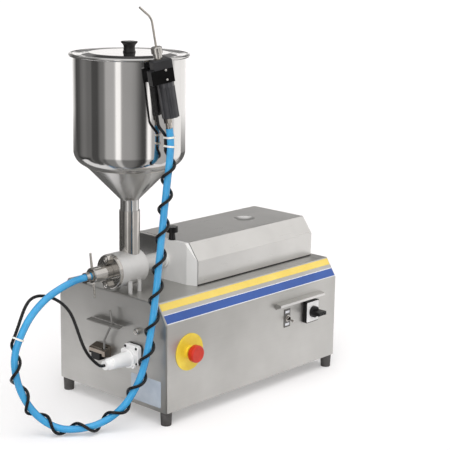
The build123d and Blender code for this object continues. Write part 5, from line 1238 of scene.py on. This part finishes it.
@dataclass
class PumpEnd:
    """Socket with its plug, start lever and blanking cap on the pump end."""

    end: float = -0.253
    socket_at: Pair = (-0.0585, 0.151)
    flange_out: float = 14 * MM
    screw_pitch: float = 35 * MM
    screw_facets: int = 20
    # Radius and height of a flange screw's sunk head in millimetres.
    screw: Outline = (
        (0, 0.4), (1.6, 0.4), (1.6, 1.6), (2.56, 1.6), (3.2, 0.8), (3.2, 0), (0, 0),
    )
    plug_at: Pair = (-0.0585, 0.145)
    trim_facets: int = 48
    # Distance from the end plate, radius and height in millimetres: locking ring, lug, gland rib.
    ring_out: float = 17 * MM
    ring: Outline = (
        (18.4, 0), (21.2, 0), (22, 0.8), (22, 3), (21.2, 3.6), (21.2, 5), (22, 5.6), (22, 8.2),
        (21.2, 9), (18.0, 9), (18.4, 0),
    )
    lug_out: float = 19 * MM
    lug_from_axis: float = 20.5 * MM
    lug_angles: tuple[float, ...] = (43.0, 223.0)
    lug: Outline = (
        (2.6, 0), (6.4, 0), (7, 0.6), (7, 4.4), (6.4, 5), (3.2, 5), (2.6, 4.4), (2.6, 0),
    )
    rib_outs: tuple[float, ...] = (75.5 * MM, 78 * MM, 80.5 * MM)
    rib: Outline = (
        (11.5, 0), (13.0, 0.2), (13.2, 0.7), (13.0, 1.2), (11.5, 1.4), (11.5, 0),
    )

    def add_plug_trim(self) -> None:
        """Put the locking ring with its two lugs round the plug, and the ribs round its gland."""
        shape = bmesh.new()
        y, z = self.plug_at
        turnings = [(self.ring, self.ring_out, 0.0, 0.0)]
        turnings += [(self.rib, out, 0.0, 0.0) for out in self.rib_outs]
        for angle in self.lug_angles:
            aside = self.lug_from_axis * math.cos(math.radians(angle))
            up = self.lug_from_axis * math.sin(math.radians(angle))
            turnings.append((self.lug, self.lug_out, aside, up))
        for outline, out, aside, up in turnings:
            place = axes(Vector((self.end - out, y + aside, z + up)), *ON_END)
            turn(shape, metres(outline), place, self.trim_facets)
        add_piece("plug_trim", shape, WHITE_MOULDING, "machine")

    def add_screws(self) -> None:
        """Put the four screws in the socket's flange, black as painted shade of their holes."""
        shape = bmesh.new()
        (y, z), half = self.socket_at, self.screw_pitch / 2
        for dy, dz in ((half, half), (half, -half), (-half, half), (-half, -half)):
            at = Vector((self.end - self.flange_out, y + dy, z + dz))
            turn(shape, metres(self.screw), axes(at, *ON_END), self.screw_facets)
        # The screws' black is painted shade of the holes in the flange.
        add_piece("flange_screws_painted_shade", shape, BLACK_NYLON, "machine")

    def build(self) -> None:
        """Dress the pump end's fittings."""
        dress(WHITE_MOULDING, "panel_socket", "plug")
        dress(SEAL_RUBBER, "socket_gasket")
        dress(BUFFED_BAR, "end_cap")
        # The lever cover's darker brown tone is a painted reflection.
        dress(STRIP_PAINTED_DARK_REFLECTION, "lever_cover")
        dress(DARK_STRIP, "start_rod", "start_paddle")
        dress(BLACK_NYLON, "limit_switch")
        self.add_plug_trim()
        self.add_screws()


@dataclass
class HandGun:
    """Hand gun on the hopper's hook: switch block, button, grip, needle."""

    block_front: float = -16 * MM
    screw_spots: Outline = ((5.4 * MM, 2.3 * MM), (5.4 * MM, -18.1 * MM))
    screw_facets: int = 20
    # Radius and height of a screw's domed head in millimetres.
    screw: Outline = ((0, 1.2), (1.3, 1.14), (2.21, 0.84), (2.6, 0.36), (2.6, 0), (0, 0))
    pad_at: Pair = (-2.5 * MM, -10.2 * MM)
    pad_width: float = 52 * MM
    pad_height: float = 29.6 * MM
    pad_thick: float = 1.6 * MM
    pad_corner: float = 2 * MM
    pad_edge: float = 0.9 * MM

    def on_block(self, x: float, z: float, out: float) -> Matrix:
        """Return a place before the block's front that faces the gun's user."""
        return GunFrame().place() @ axes(Vector((x, self.block_front - out, z)), *ON_FRONT)

    def add_pad(self) -> None:
        """Lay the switch module's glossy cover on the block's front."""
        shape = bmesh.new()
        outline = rounded(self.pad_width, self.pad_height, self.pad_corner)
        slab(shape, outline, self.pad_thick, self.pad_edge, self.on_block(*self.pad_at, 0.0))
        add_piece("switch_module_cover", shape, BLACK_COVER, "machine")

    def add_screws(self) -> None:
        """Put the two bright screws in the switch block."""
        shape = bmesh.new()
        for x, z in self.screw_spots:
            place = self.on_block(x, z, self.pad_thick)
            turn(shape, metres(self.screw), place, self.screw_facets)
        add_piece("block_screws", shape, BUFFED_BAR, "machine")

    def build(self) -> None:
        """Dress the gun."""
        dress(BLACK_NYLON, "gun_button")
        dress(GREY_BLOCK, "gun_block")
        # The grip's paler charcoal is painted sheen.
        dress(GRIP_PAINTED_SHEEN, "gun_grip")
        dress(BUFFED_BAR, "gun_nut")
        dress(DRAWN_TUBE, "gun_needle", "gun_tube")
        dress(SATIN_SHEET, "gun_hook")
        self.add_pad()
        self.add_screws()


def main() -> None:
    """Build the studio and dress the machine, sub-assembly by sub-assembly."""
    logging.basicConfig(level=logging.INFO)
    parts = (
        Studio(), FlexibleLines(), CaseShell(), DriveHood(), GearPump(), HopperSet(),
        OperatorPanel(), PumpEnd(), HandGun(),
    )
    for part in parts:
        part.build()


if __name__ == "__main__":
    main()
